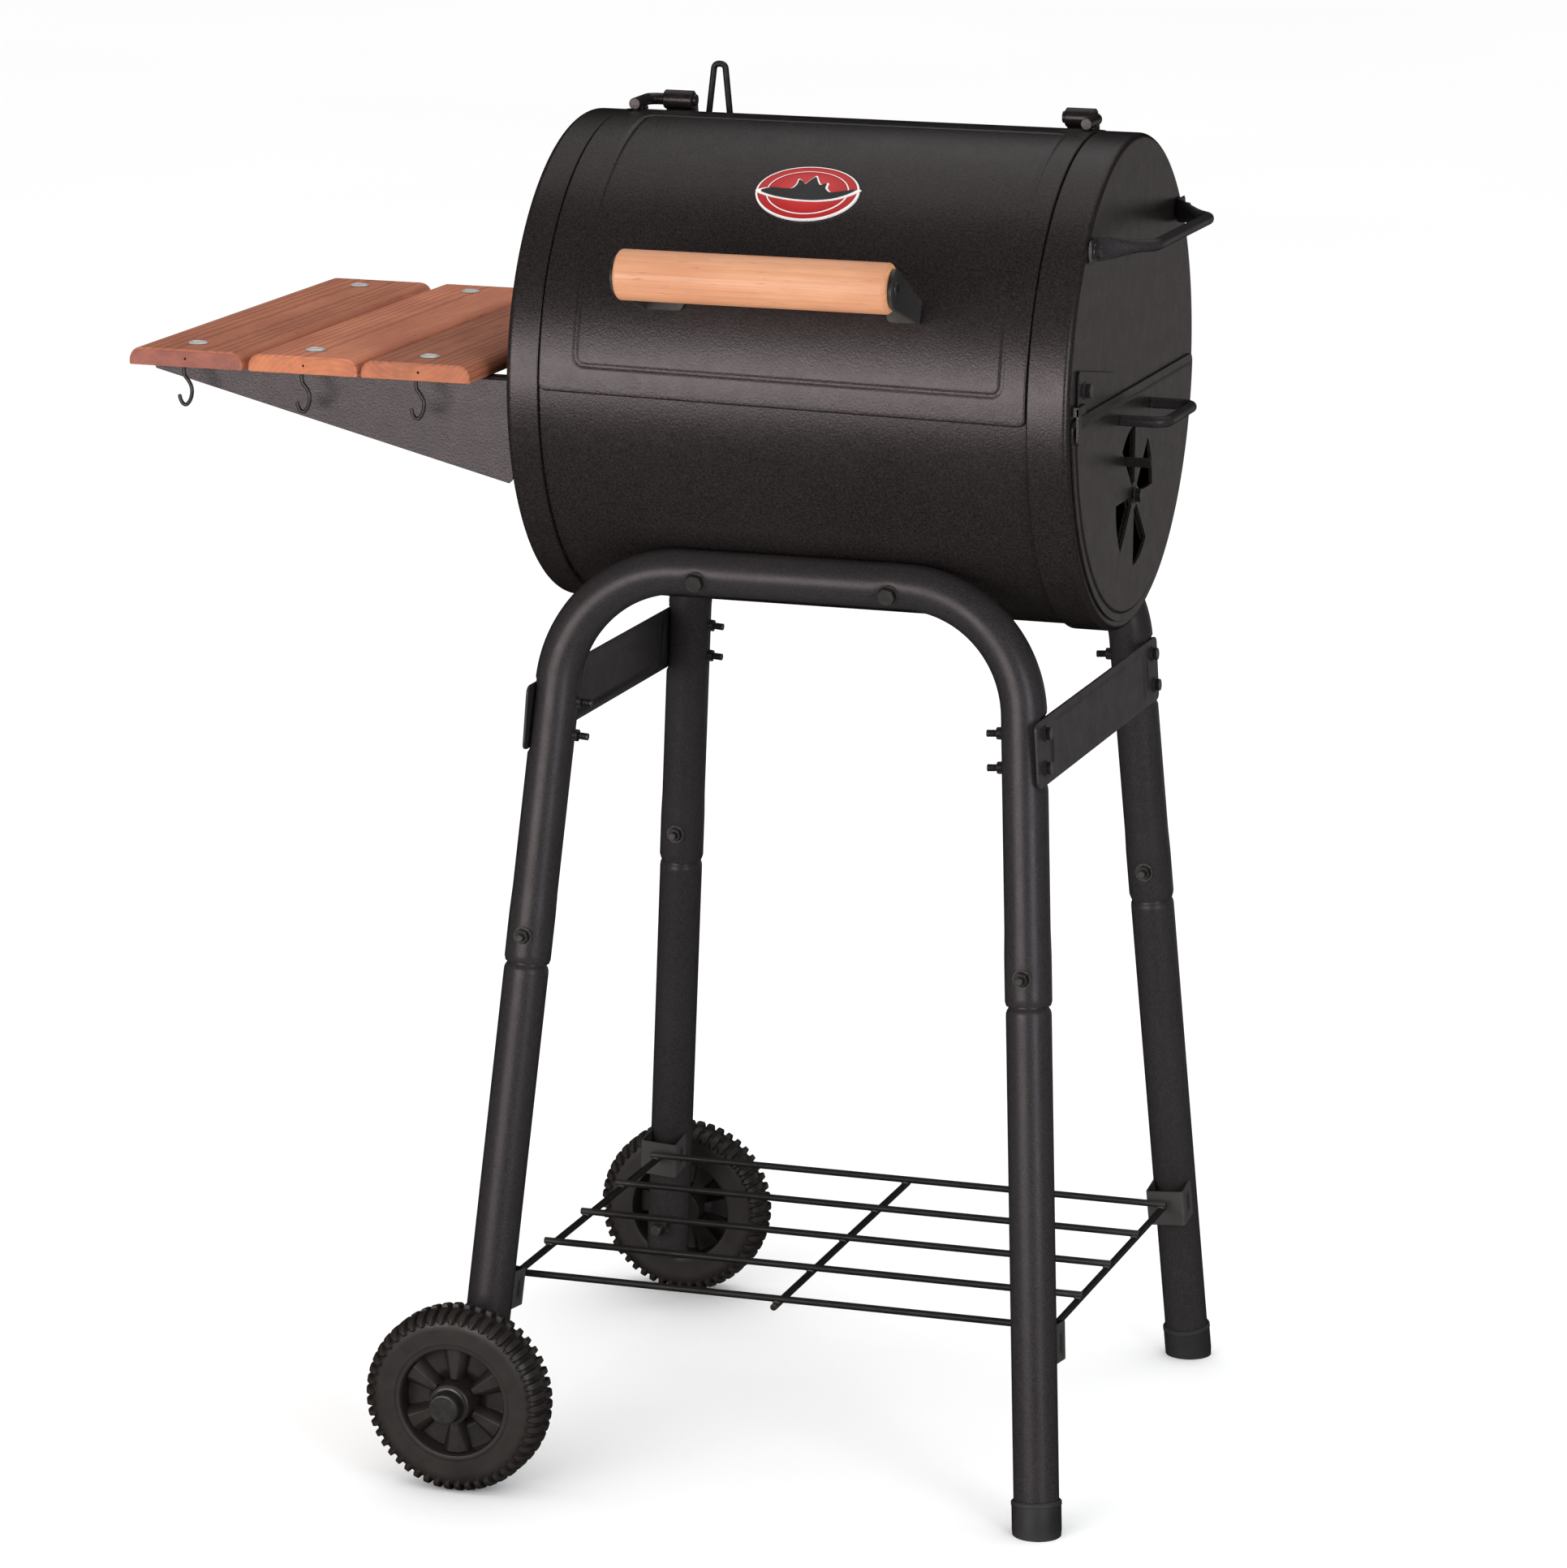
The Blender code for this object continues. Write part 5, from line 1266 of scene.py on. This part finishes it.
def lower_legs():
    inner = LOWER_R - TUBE_WALL
    outside = FLARE_R + 0.0002
    rings = [(-outside - 0.0100, 0.0026)] + thread_rings(-outside - 0.0095, -outside - 0.0050, 0.0031)
    rings += hex_rings(-outside - 0.0050, -outside - 0.0008, 0.0060, True, False)
    rings += [(-outside - 0.0008, 0.0075), (-outside + 0.0002, 0.0075), (-outside + 0.0002, 0.0031),
              (outside, 0.0031), (outside, 0.0075), (outside + 0.0009, 0.0075)]
    rings += hex_rings(outside + 0.0009, outside + 0.0050, 0.0060)
    for name, side_x, side_y in CORNERS:
        end_z = LEFT_LEG_END_Z if side_x < 0 else 0.012
        length = (leg_point(side_x, side_y, JOINT_Z) - leg_point(side_x, side_y, end_z)).length - GAP
        profile = [(0.0, LOWER_R - 0.0005), (0.0005, LOWER_R)]
        profile += [(length * k / 24, LOWER_R) for k in range(1, 24)]
        profile += [
            (length - 0.0075, LOWER_R), (length - 0.0050, LOWER_R - 0.0002),
            (length - 0.0030, LOWER_R - 0.0009), (length - 0.0018, NECK_R + 0.0004),
            (length, NECK_R), (length + 0.050, NECK_R),
            (length + 0.050, NECK_R - TUBE_WALL), (length, NECK_R - TUBE_WALL), (length - 0.008, inner),
            (0.0, inner),
        ]
        leg = spin(profile, about((0, 0, 0), (0, 0, 1)), 40, ring=True)
        make("stand_leg_" + name, moved(leg, leg_matrix(side_x, side_y, end_z)), TUBE_PAINT,
             stands_for="lower_leg_" + name, smooth=50, weighted=False)
        place = leg_point(side_x, side_y, LEG_BOLT_Z)
        bolt("joint_bolt_" + name, rings, place, (0, 1, 0), "leg_bolt_" + name)
        if side_x > 0:
            foot_cap(name, side_x, side_y)


def foot_cap(name, side_x, side_y):
    bore = LOWER_R + 0.0005
    top = 0.028
    floor = 0.0136
    outer = CAP_FOOT_R
    profile = [(-0.004, 0.0), (-0.004, outer - 0.0008), (0.0045, outer), (top - 0.0040, outer),
               (top - 0.0036, outer + 0.0004), (top - 0.0012, outer + 0.0004),
               (top - 0.0004, outer - 0.0002), (top, outer - 0.0012), (top, bore), (floor, bore),
               (floor, 0.0)]
    cap = moved(spin(profile, about((0, 0, 0), (0, 0, 1)), 56), leg_matrix(side_x, side_y, 0.0))
    cut = bmesh.ops.bisect_plane(cap, geom=list(cap.verts) + list(cap.edges) + list(cap.faces),
                                 plane_co=(0, 0, 0), plane_no=(0, 0, 1), clear_inner=True)
    rim = [item for item in cut["geom_cut"] if isinstance(item, bmesh.types.BMEdge)]
    bmesh.ops.holes_fill(cap, edges=rim)
    make("foot_" + name, cap, FOOT_PLASTIC, stands_for="foot_cap_" + name, smooth=35)


def braces():
    """Pressed strips with a sunk panel and a bead at each end, bolted through the legs."""
    low_z, high_z = BRACE_Z
    middle_z = (low_z + high_z) / 2
    half = (high_z - low_z) / 2
    leg_y = leg_point(1, 1, middle_z).y
    front, rear = leg_y + BRACE_OVERHANG[0], leg_y + BRACE_OVERHANG[1]
    panel = leg_y - 0.030
    bead_y = leg_y - 0.0205
    bead_r, press, blend = 0.0030, 0.0012, 0.0080
    metal = 0.0018
    corner = 0.006
    ys = spread(-front, rear, 0.006, (-panel, panel, -bead_y, bead_y, -front, rear), 0.0012, 0.006)
    zs = [(-half + (2 * half) * k / 44) for k in range(45)]

    def sink(y, z):
        box_y = abs(y) - (panel - 0.004)
        box_z = abs(z) - (half - 0.0115)
        distance = hypot(max(box_y, 0), max(box_z, 0)) + min(max(box_y, box_z), 0.0) - 0.004
        share = max(0.0, min(1.0, 0.5 - distance / blend))
        depth = press * share * share * (3 - 2 * share)
        bead = hypot(y - bead_y if y > 0 else y + bead_y, max(0.0, abs(z) - 0.010)) / bead_r
        if bead < 1:
            depth -= press * (cos(bead * pi) + 1) / 2
        return depth

    for name, side in (("left", -1), ("right", 1)):
        def point(z, y, thickness):
            gap_z = half - abs(z)
            limit = front if y < 0 else rear
            if gap_z < corner:
                y *= 1 - (corner - sqrt(max(0.0, corner ** 2 - (corner - gap_z) ** 2))) / limit
            x = brace_back(middle_z + z) + thickness - sink(y, z)
            return STAND_X + side * x, y, middle_z + z

        strip = sheet_body(zs, ys, (BRACE_SHEET, BRACE_SHEET - metal), point)
        make("stand_brace_" + name, strip, TUBE_PAINT, stands_for="leg_brace_" + name, smooth=45,
             weighted=False)
    back = -TUBE_R + 0.0012
    for name, side_x, side_y in CORNERS:
        for level, z in zip(("lower", "upper"), BRACE_BOLT_Z):
            place = leg_point(side_x, side_y, z)
            face = brace_back(z) + BRACE_SHEET + 0.0002 - abs(place.x - STAND_X)
            rings = [(back - 0.0135, 0.0026)] + thread_rings(back - 0.0130, back - 0.0052, 0.0030)
            rings += hex_rings(back - 0.0050, back - 0.0004, 0.0056, True, True) + [(back - 0.0004, 0.0030)]
            rings += [(face, 0.0030), (face, 0.0064), (face + 0.0010, 0.0064)]
            rings += hex_rings(face + 0.0010, face + 0.0046, 0.0056)
            bolt("brace_bolt_" + name + "_" + level, rings, place, (side_x, 0, LEG_X[1]))


def rack():
    """Five long wires on three cross wires, with a bead of weld at each crossing, and four channel clips."""
    half = RACK_X + RACK_OVERHANG
    cross_z = RACK_Z - 2 * WIRE_R + 0.0008
    reach = leg_point(1, 1, cross_z).y - CLIP_DEPTH - 0.0006
    wire_ys = [-RACK_Y + index * RACK_Y / 2 for index in range(5)]

    def wire(start, end):
        return sweep(resampled([Vector(start), Vector(end)], 0.02), WIRE_R, 20, dome=0.0008)

    rods = [wire((STAND_X - half, y, RACK_Z), (STAND_X + half, y, RACK_Z)) for y in wire_ys]
    for x in (-RACK_X, 0.0, RACK_X):
        end = reach if x else RACK_Y + 0.008
        x += STAND_X
        rods.append(wire((x, -end, cross_z), (x, end, cross_z)))
        for y in wire_ys:
            bead = bmesh.new()
            bmesh.ops.create_uvsphere(bead, u_segments=14, v_segments=8, radius=1.0)
            scale = Matrix.Diagonal((0.0036, 0.0036, 0.0022, 1.0))
            rods.append(moved(bead, Matrix.Translation((x, y, (RACK_Z + cross_z) / 2)) @ scale))
    make("rack_wires", join(*rods), BLACK_STEEL, stands_for="wire_rack", smooth=60, weighted=False)
    sheet, web, bend = 0.0022, 0.0165, 0.003
    edge = -CLIP_DEPTH + bend
    slot_y, slot_half = -0.022, 0.0022
    outer = [(-web, -0.0083)] + arc(bend, 180, 270, 5, (-web + bend, edge))
    outer += arc(bend, 270, 360, 5, (web - bend, edge)) + [(web, -0.0083)]
    inner = [(web - sheet, -0.0118), (web - sheet, edge), (web - bend, -CLIP_DEPTH + sheet),
             (-web + bend, -CLIP_DEPTH + sheet), (-web + sheet, edge), (-web + sheet, -0.0118)]

    def runs_along_x(each):
        return abs(each.verts[0].co.x - each.verts[1].co.x) > 0.05

    for name, side_x, side_y in CORNERS:
        outline = [(x, side_y * y) for x, y in outer + inner]
        clip = prism(outline, "z", -CLIP_HEIGHT / 2, CLIP_HEIGHT / 2)
        clip = softened(clip, 0.0004, 1, 60)
        slot = box((-0.05, side_y * slot_y - slot_half, -0.006), (0.05, side_y * slot_y + slot_half, 0.006))
        slot = softened(slot, 0.0019, 3, 50, runs_along_x)
        clip = moved(carved(clip, slot), leg_matrix(side_x, side_y, CLIP_Z))
        make("clip_" + name, clip, BLACK_STEEL, stands_for="rack_clip_" + name, smooth=35)


# ---------------------------------------------------------------- wheels

def wheel_profile():
    """Wheel section as (outward, radius, zone): bore, hub, web, rim, tyre wall, shoulder, tread and back."""
    half = WHEEL_HALF
    hub_r, rim_r = 0.0184, 0.0430
    web = [hub_r + (rim_r - hub_r) * k / 18 for k in range(19)]
    back_web = [rim_r - (rim_r - hub_r) * k / 18 for k in range(19)]

    def plain(*points):
        return [(along, radius, "") for along, radius in points]

    shoulder = [(half, 0.0640), (half - 0.0004, 0.0652), (half - 0.0006, 0.0660), (half - 0.0012, 0.0675),
                (half - 0.0024, 0.0692), (half - 0.0045, 0.0708), (half - 0.0070, 0.0718),
                (half - 0.0100, TREAD_R), (0.0046, TREAD_R), (0.0034, TREAD_R), (0.0008, TREAD_R)]
    points = plain((-half, 0.0056), (half + 0.0055, 0.0056), (half + 0.0060, 0.0062),
                   (half + 0.0060, 0.0160), (half + 0.0054, 0.0167), (half + 0.0030, 0.0169),
                   (half - 0.0040, 0.0171), (half - 0.0090, 0.0176))
    points += [(0.0, radius, "web") for radius in web]
    points += plain((half - 0.0090, 0.0434), (half - 0.0030, 0.0438), (half - 0.0012, 0.0443),
                    (half - 0.0002, 0.0451), (half, 0.0459), (half, 0.0478), (half - 0.0005, 0.0482),
                    (half - 0.0005, 0.0489), (half, 0.0493), (half, 0.0553), (half, 0.0606))
    points += [(a, r, "near") for a, r in shoulder]
    points += [(-a, r, "far") for a, r in reversed(shoulder)]
    points += plain((-half, 0.0606), (-half, 0.0553), (-half, 0.0493), (-half, 0.0459),
                    (-half + 0.0002, 0.0451), (-half + 0.0015, 0.0443), (-half + 0.0090, 0.0434))
    points += [(0.0, radius, "back") for radius in back_web]
    points += plain((-half + 0.0090, 0.0176), (-half + 0.0008, 0.0171), (-half, 0.0164))
    return points


def rib_height(radius, turn):
    """Outward height of the web: a flat floor with round ribs that widen towards the rim."""
    pitch = 360.0 / WHEEL_RIBS
    off = (turn + pitch / 2) % pitch - pitch / 2
    across = abs(radius * sin(radians(off)))
    half = 0.0055 + 0.0065 * (radius - 0.018) / 0.025
    share = across / half
    crown = sqrt(max(0.0, 1 - share ** 2)) if share < 1 else 0.0
    recess = max(0.0, 1 - (radius - 0.0184) / 0.006) * 0.004
    return 0.0030 - recess * (1 - crown) + 0.0105 * min(1.0, crown * 1.1)


def lug_height(zone, turn, radius):
    """0 to 1: lugs in two staggered rows, with rounded ends on the tyre's shoulder."""
    pitch = 360.0 / WHEEL_LUGS
    shift = 0.0 if zone == "near" else pitch / 2
    off = abs((turn + shift + pitch / 2) % pitch - pitch / 2) / (pitch / 2)
    start = max(0.0, min(1.0, (radius - 0.0655) / 0.0030))
    width = 0.64 * sqrt(1 - (1 - start) ** 2)
    return max(0.0, min(1.0, (width - off) / 0.15))


def wheels():
    profile = wheel_profile()
    steps = WHEEL_LUGS * 12
    for name, side_y in (("front", -1), ("rear", 1)):
        leg = leg_point(-1, side_y, WHEEL_R)
        bm = bmesh.new()
        columns = []
        for step in range(steps):
            turn = 360.0 * step / steps + 2.0
            around = radians(turn)
            column = []
            for index, (along, radius, zone) in enumerate(profile):
                a, r = along, radius
                if zone == "web":
                    a = rib_height(radius, turn)
                elif zone == "back":
                    a = rib_height(radius, turn) - 0.0030
                elif zone:
                    before, after = profile[index - 1], profile[(index + 1) % len(profile)]
                    slope = Vector((after[1] - before[1], before[0] - after[0])).normalized()
                    gap = max(0.0, min(1.0, (abs(along) - 0.0034) / 0.0012))
                    rise = (WHEEL_R - TREAD_R) * lug_height(zone, turn, radius) * gap
                    a += slope.x * rise
                    r = min(r + slope.y * rise, WHEEL_R)
                place = (leg.x + r * sin(around), side_y * (WHEEL_Y + a), leg.z + r * cos(around))
                column.append(bm.verts.new(place))
            columns.append(column)
        lofted(bm, columns + columns[:1], False)
        make("wheel_moulded_" + name, bm, PLASTIC, name + "_wheel", "wheel_" + name, smooth=32,
             weighted=False)
        inner = abs(leg.y) - LOWER_R - 0.0022
        hub = WHEEL_Y + WHEEL_HALF + 0.0062
        rings = [(inner - 0.0180, 0.0038)] + thread_rings(inner - 0.0175, inner - 0.0085, 0.0046, 0.00125)
        rings += hex_rings(inner - 0.0085, inner, 0.0088, True, True) + [(inner, AXLE_R), (hub, AXLE_R)]
        rings += [(hub, 0.0144), (hub + 0.0004, 0.0148), (hub + 0.0014, 0.0148), (hub + 0.0018, 0.0134),
                  (hub + 0.0095, 0.0130), (hub + 0.0122, 0.0124), (hub + 0.0132, 0.0116),
                  (hub + 0.0135, 0.0106)]
        bolt("axle_" + name, rings, (leg.x, 0, leg.z), (0, side_y, 0), "axle_bolt_" + name, steps=48,
             smooth=32)


# ---------------------------------------------------------------- shelf

def gussets():
    """Triangular side plates with a flange under the boards and a tab on the end cap."""
    top = BOARD_BOTTOM_Z - GAP
    low = top - GUSSET_DROP
    wall_x = -CAP_X - GAP
    bend, lip_z = 0.0022, top - 0.006
    flange_width, tab_width = 0.020, 0.016
    tip_z = top - 0.0082
    outline = [(GUSSET_TIP_X, top - bend), (wall_x, top - bend), (wall_x, low + 0.003),
               (wall_x - 0.003, low), (GUSSET_TIP_X + 0.002, tip_z), (GUSSET_TIP_X, top - 0.003)]
    for name, y, inward in (("front", GUSSET_Y[0], 1), ("rear", GUSSET_Y[1], -1)):
        edge, back = y + inward * flange_width, y + inward * SHEET
        section = [(y, lip_z), (y, top - bend)]
        section += [(y + inward * (bend - bend * cos(turn)), top - bend + bend * sin(turn))
                    for turn in (radians(k * 15) for k in range(1, 7))]
        section += [(edge, top), (edge, top - SHEET), (y + inward * bend, top - SHEET), (back, top - bend),
                    (back, lip_z)]
        flange = prism(section, "x", GUSSET_TIP_X, wall_x)
        whole = carved(prism(outline, "y", *sorted((y, back))), flange, "UNION")
        tab_y = sorted((y + inward * SHEET / 2, y + inward * tab_width))
        tab = box((wall_x - SHEET, tab_y[0], low + 0.006), (wall_x, tab_y[1], top - SHEET / 2))
        whole = carved(whole, tab, "UNION")
        make("shelf_bracket_" + name, whole, PAINT, stands_for="shelf_gusset_" + name, smooth=32)


def board(low_x, high_x):
    """A plank with well rounded top edges and slightly softened ends."""
    top = BOARD_BOTTOM_Z + BOARD_THICKNESS
    base = 0.0010
    section = [(low_x + base, BOARD_BOTTOM_Z), (high_x - base, BOARD_BOTTOM_Z),
               (high_x, BOARD_BOTTOM_Z + base)]
    section += arc(BOARD_ROUND, 0, 90, 8, (high_x - BOARD_ROUND, top - BOARD_ROUND))
    section += arc(BOARD_ROUND, 90, 180, 8, (low_x + BOARD_ROUND, top - BOARD_ROUND))
    section += [(low_x, BOARD_BOTTOM_Z + base)]
    middle = ((low_x + high_x) / 2, (BOARD_BOTTOM_Z + top) / 2)
    ends = [(0.0, 0.0026), (0.0004, 0.0014), (0.0012, 0.0004), (0.0026, 0.0)]
    stations = [(BOARD_Y[0] + y, inset) for y, inset in ends]
    stations += [(BOARD_Y[0] + (BOARD_Y[1] - BOARD_Y[0]) * k / 8, 0.0) for k in range(1, 8)]
    stations += [(BOARD_Y[1] - y, inset) for y, inset in reversed(ends)]
    bm = bmesh.new()
    rings = []
    for y, inset in stations:
        ring = []
        for x, z in section:
            pull_x = max(-1.0, min(1.0, (x - middle[0]) / 0.020))
            pull_z = 1.0 if z > middle[1] else -0.3
            ring.append(bm.verts.new((x - inset * pull_x, y, z - inset * pull_z)))
        rings.append(ring)
    return lofted(bm, rings)


def boards():
    """Three planks, each with a pilot hole in its end and two cupped washers with cross-head screws."""
    top = BOARD_BOTTOM_Z + BOARD_THICKNESS
    rings = [(-0.0030, 0.0032), (0.0002, 0.0040), (0.0002, 0.0078), (0.0006, 0.0081), (0.0013, 0.0076),
             (0.0018, 0.0062), (0.0014, 0.0050), (0.0006, 0.0044), (0.0009, 0.0038), (0.0012, 0.0020),
             (0.0012, 0.0006)]
    for index, where in enumerate(SHELF_PLACES):
        bm = board(*BOARD_X[index])
        pilot_x = HOOK_X[index] + 0.010
        place = about((pilot_x, BOARD_Y[0] - 0.004, BOARD_BOTTOM_Z + 0.0070), (0, 1, 0))
        bm = carved(bm, pin_bore(0.0, 0.012, 0.0011, place, 16))
        make("board_" + where, bm, BOARD_WOODS[index], stands_for="shelf_board_" + where, smooth=40)
        for end, y in zip(("front", "rear"), SCREW_Y):
            place = (HOOK_X[index] + 0.0070, y, top)
            screw = cross_cut(fastener(rings, place, (0, 0, 1), 32), (-0.0022, -0.0005, 0.0003),
                              (0.0022, 0.0005, 0.0030), place, "Z", 0.5 + 0.7 * index)
            make("shelf_screw_" + where + "_" + end, screw, ZINC, smooth=30)


def hooks():
    """Screw hooks: a threaded shank, a collar bend and an open J."""
    top = BOARD_BOTTOM_Z - GAP
    line = [(0.0, 0.0), (0.0, -0.0070), (0.0010, -0.0095), (0.0040, -0.0128), (0.0066, -0.0175),
            (0.0070, -0.0228), (0.0055, -0.0285), (0.0022, -0.0328), (-0.0010, -0.0322),
            (-0.0032, -0.0288), (-0.0040, -0.0252)]
    for index, where in enumerate(SHELF_PLACES):
        x = HOOK_X[index] + 0.0020
        points = smoothed_line([Vector((x + dx, HOOK_Y, top + dz)) for dx, dz in line], 3)
        wire = sweep(points, HOOK_R, 16, dome=0.0008)
        collar = spin([(-0.0004, 0.0), (-0.0004, 0.0030), (0.0004, 0.0034), (0.0014, 0.0030), (0.0014, 0.0)],
                      about((x, HOOK_Y, top - 0.0012), (0, 0, 1)), 24)
        make("hook_" + where, join(wire, collar), HOOK_STEEL, stands_for="tool_hook_" + where, smooth=60)


def smoothed_line(points, rounds):
    for _ in range(rounds):
        cut = [points[0]]
        for here, there in zip(points, points[1:]):
            cut += [here.lerp(there, 0.25), here.lerp(there, 0.75)]
        cut.append(points[-1])
        points = cut
    return points


# ---------------------------------------------------------------- light, floor and camera

def floor_material():
    n = Nodes("floor_paper")
    n.set(Roughness=0.9, Specular_IOR_Level=0.1)
    colour = n.mix(n.ramp(n.noise(0.6, 2.0), 0.3, 0.7), (0.97, 0.97, 0.97), (0.985, 0.985, 0.985))
    return n.finish(colour)


def studio():
    mesh = bpy.data.meshes.new("studio_floor")
    size = 60.0
    corners = [(-size, -size, 0), (size, -size, 0), (size, size, 0), (-size, size, 0)]
    mesh.from_pydata(corners, [], [(0, 1, 2, 3)])
    mesh.materials.append(floor_material())
    floor = bpy.data.objects.new("studio_floor", mesh)
    bpy.context.scene.collection.objects.link(floor)
    floor.visible_glossy = False
    world = bpy.data.worlds.new("studio_air")
    bpy.context.scene.world = world
    world.use_nodes = True
    back = world.node_tree.nodes["Background"]
    back.inputs["Color"].default_value = (1.0, 1.0, 1.0, 1.0)
    back.inputs["Strength"].default_value = 1.04
    world.cycles_visibility.glossy = False
    soft_box("key_left", (-1.00, -3.3, 0.93), (0.0, 0.0, 0.85), (2.3, 1.4), 58.0, (1.0, 0.97, 0.95))
    soft_box("fill_right", (2.5, -2.2, 1.05), (0.0, 0.0, 0.7), (0.9, 1.7), 30.0, (0.84, 0.92, 1.0))
    soft_box("back_right", (1.6, 3.4, 0.35), (0.3, 0.0, 0.8), (2.2, 1.6), 2.5, (1.0, 0.96, 0.92))
    soft_box("top", (0.2, 1.2, 3.6), (0.0, 0.4, 0.0), (3.4, 3.4), 22.0, (1.0, 1.0, 1.0))


def soft_box(name, place, target, size, watts, colour):
    light = bpy.data.lights.new(name, "AREA")
    light.shape = "RECTANGLE"
    light.size, light.size_y = size
    light.energy = watts
    light.color = colour
    obj = bpy.data.objects.new(name, light)
    bpy.context.scene.collection.objects.link(obj)
    obj.location = place
    obj.visible_camera = False
    obj.rotation_mode = "QUATERNION"
    obj.rotation_quaternion = (Vector(target) - Vector(place)).to_track_quat("-Z", "Y")


def camera():
    """A long lens from the right and slightly above, as the photograph was taken."""
    azimuth, elevation, roll = radians(17.446), radians(12.548), radians(0.582)
    distance = 5.290
    back = Vector((sin(azimuth) * cos(elevation), -cos(azimuth) * cos(elevation), sin(elevation)))
    right = Vector((cos(azimuth), sin(azimuth), 0.0))
    up = back.cross(right)
    rolled_right = right * cos(roll) + up * sin(roll)
    rolled_up = up * cos(roll) - right * sin(roll)
    target = Vector((CENTRE_X, 0, 0)) + rolled_right * -0.0508 + rolled_up * 0.5283
    data = bpy.data.cameras.new("photo_camera")
    data.lens = 143.83
    data.sensor_width = 36.0
    data.clip_start, data.clip_end = 0.1, 200.0
    obj = bpy.data.objects.new("photo_camera", data)
    bpy.context.scene.collection.objects.link(obj)
    turn = Matrix((rolled_right, rolled_up, back)).transposed().to_4x4()
    obj.matrix_world = Matrix.Translation(target + back * distance) @ turn
    bpy.context.scene.camera = obj
    bpy.context.scene.view_settings.view_transform = "Standard"


# ---------------------------------------------------------------- everything

barrel()
lid()
badge()
lid_handle()
hinges()
rest_loop()
lift_handle()
guide_tab()
drawer()
vent_rotor("draft_blade", "draft_vent", "draft_damper", VENT_Z, CAP_X - GAP, 1)
vent_rotor("exhaust_blade", "exhaust_vent", "exhaust_damper", EXHAUST_Z, -CAP_X + SHEET + GAP, -1)
exhaust_rivet()
upper_frames()
lower_legs()
braces()
rack()
wheels()
gussets()
boards()
hooks()
for plain_node in ("ash_pan", "grate_rail_front", "grate_rail_rear"):
    keep(plain_node, INNER_PAINT)
keep("charcoal_grate", IRON, 0.0012)
keep("cooking_grate_left", IRON, 0.0016)
keep("cooking_grate_right", IRON, 0.0016)
studio()
camera()
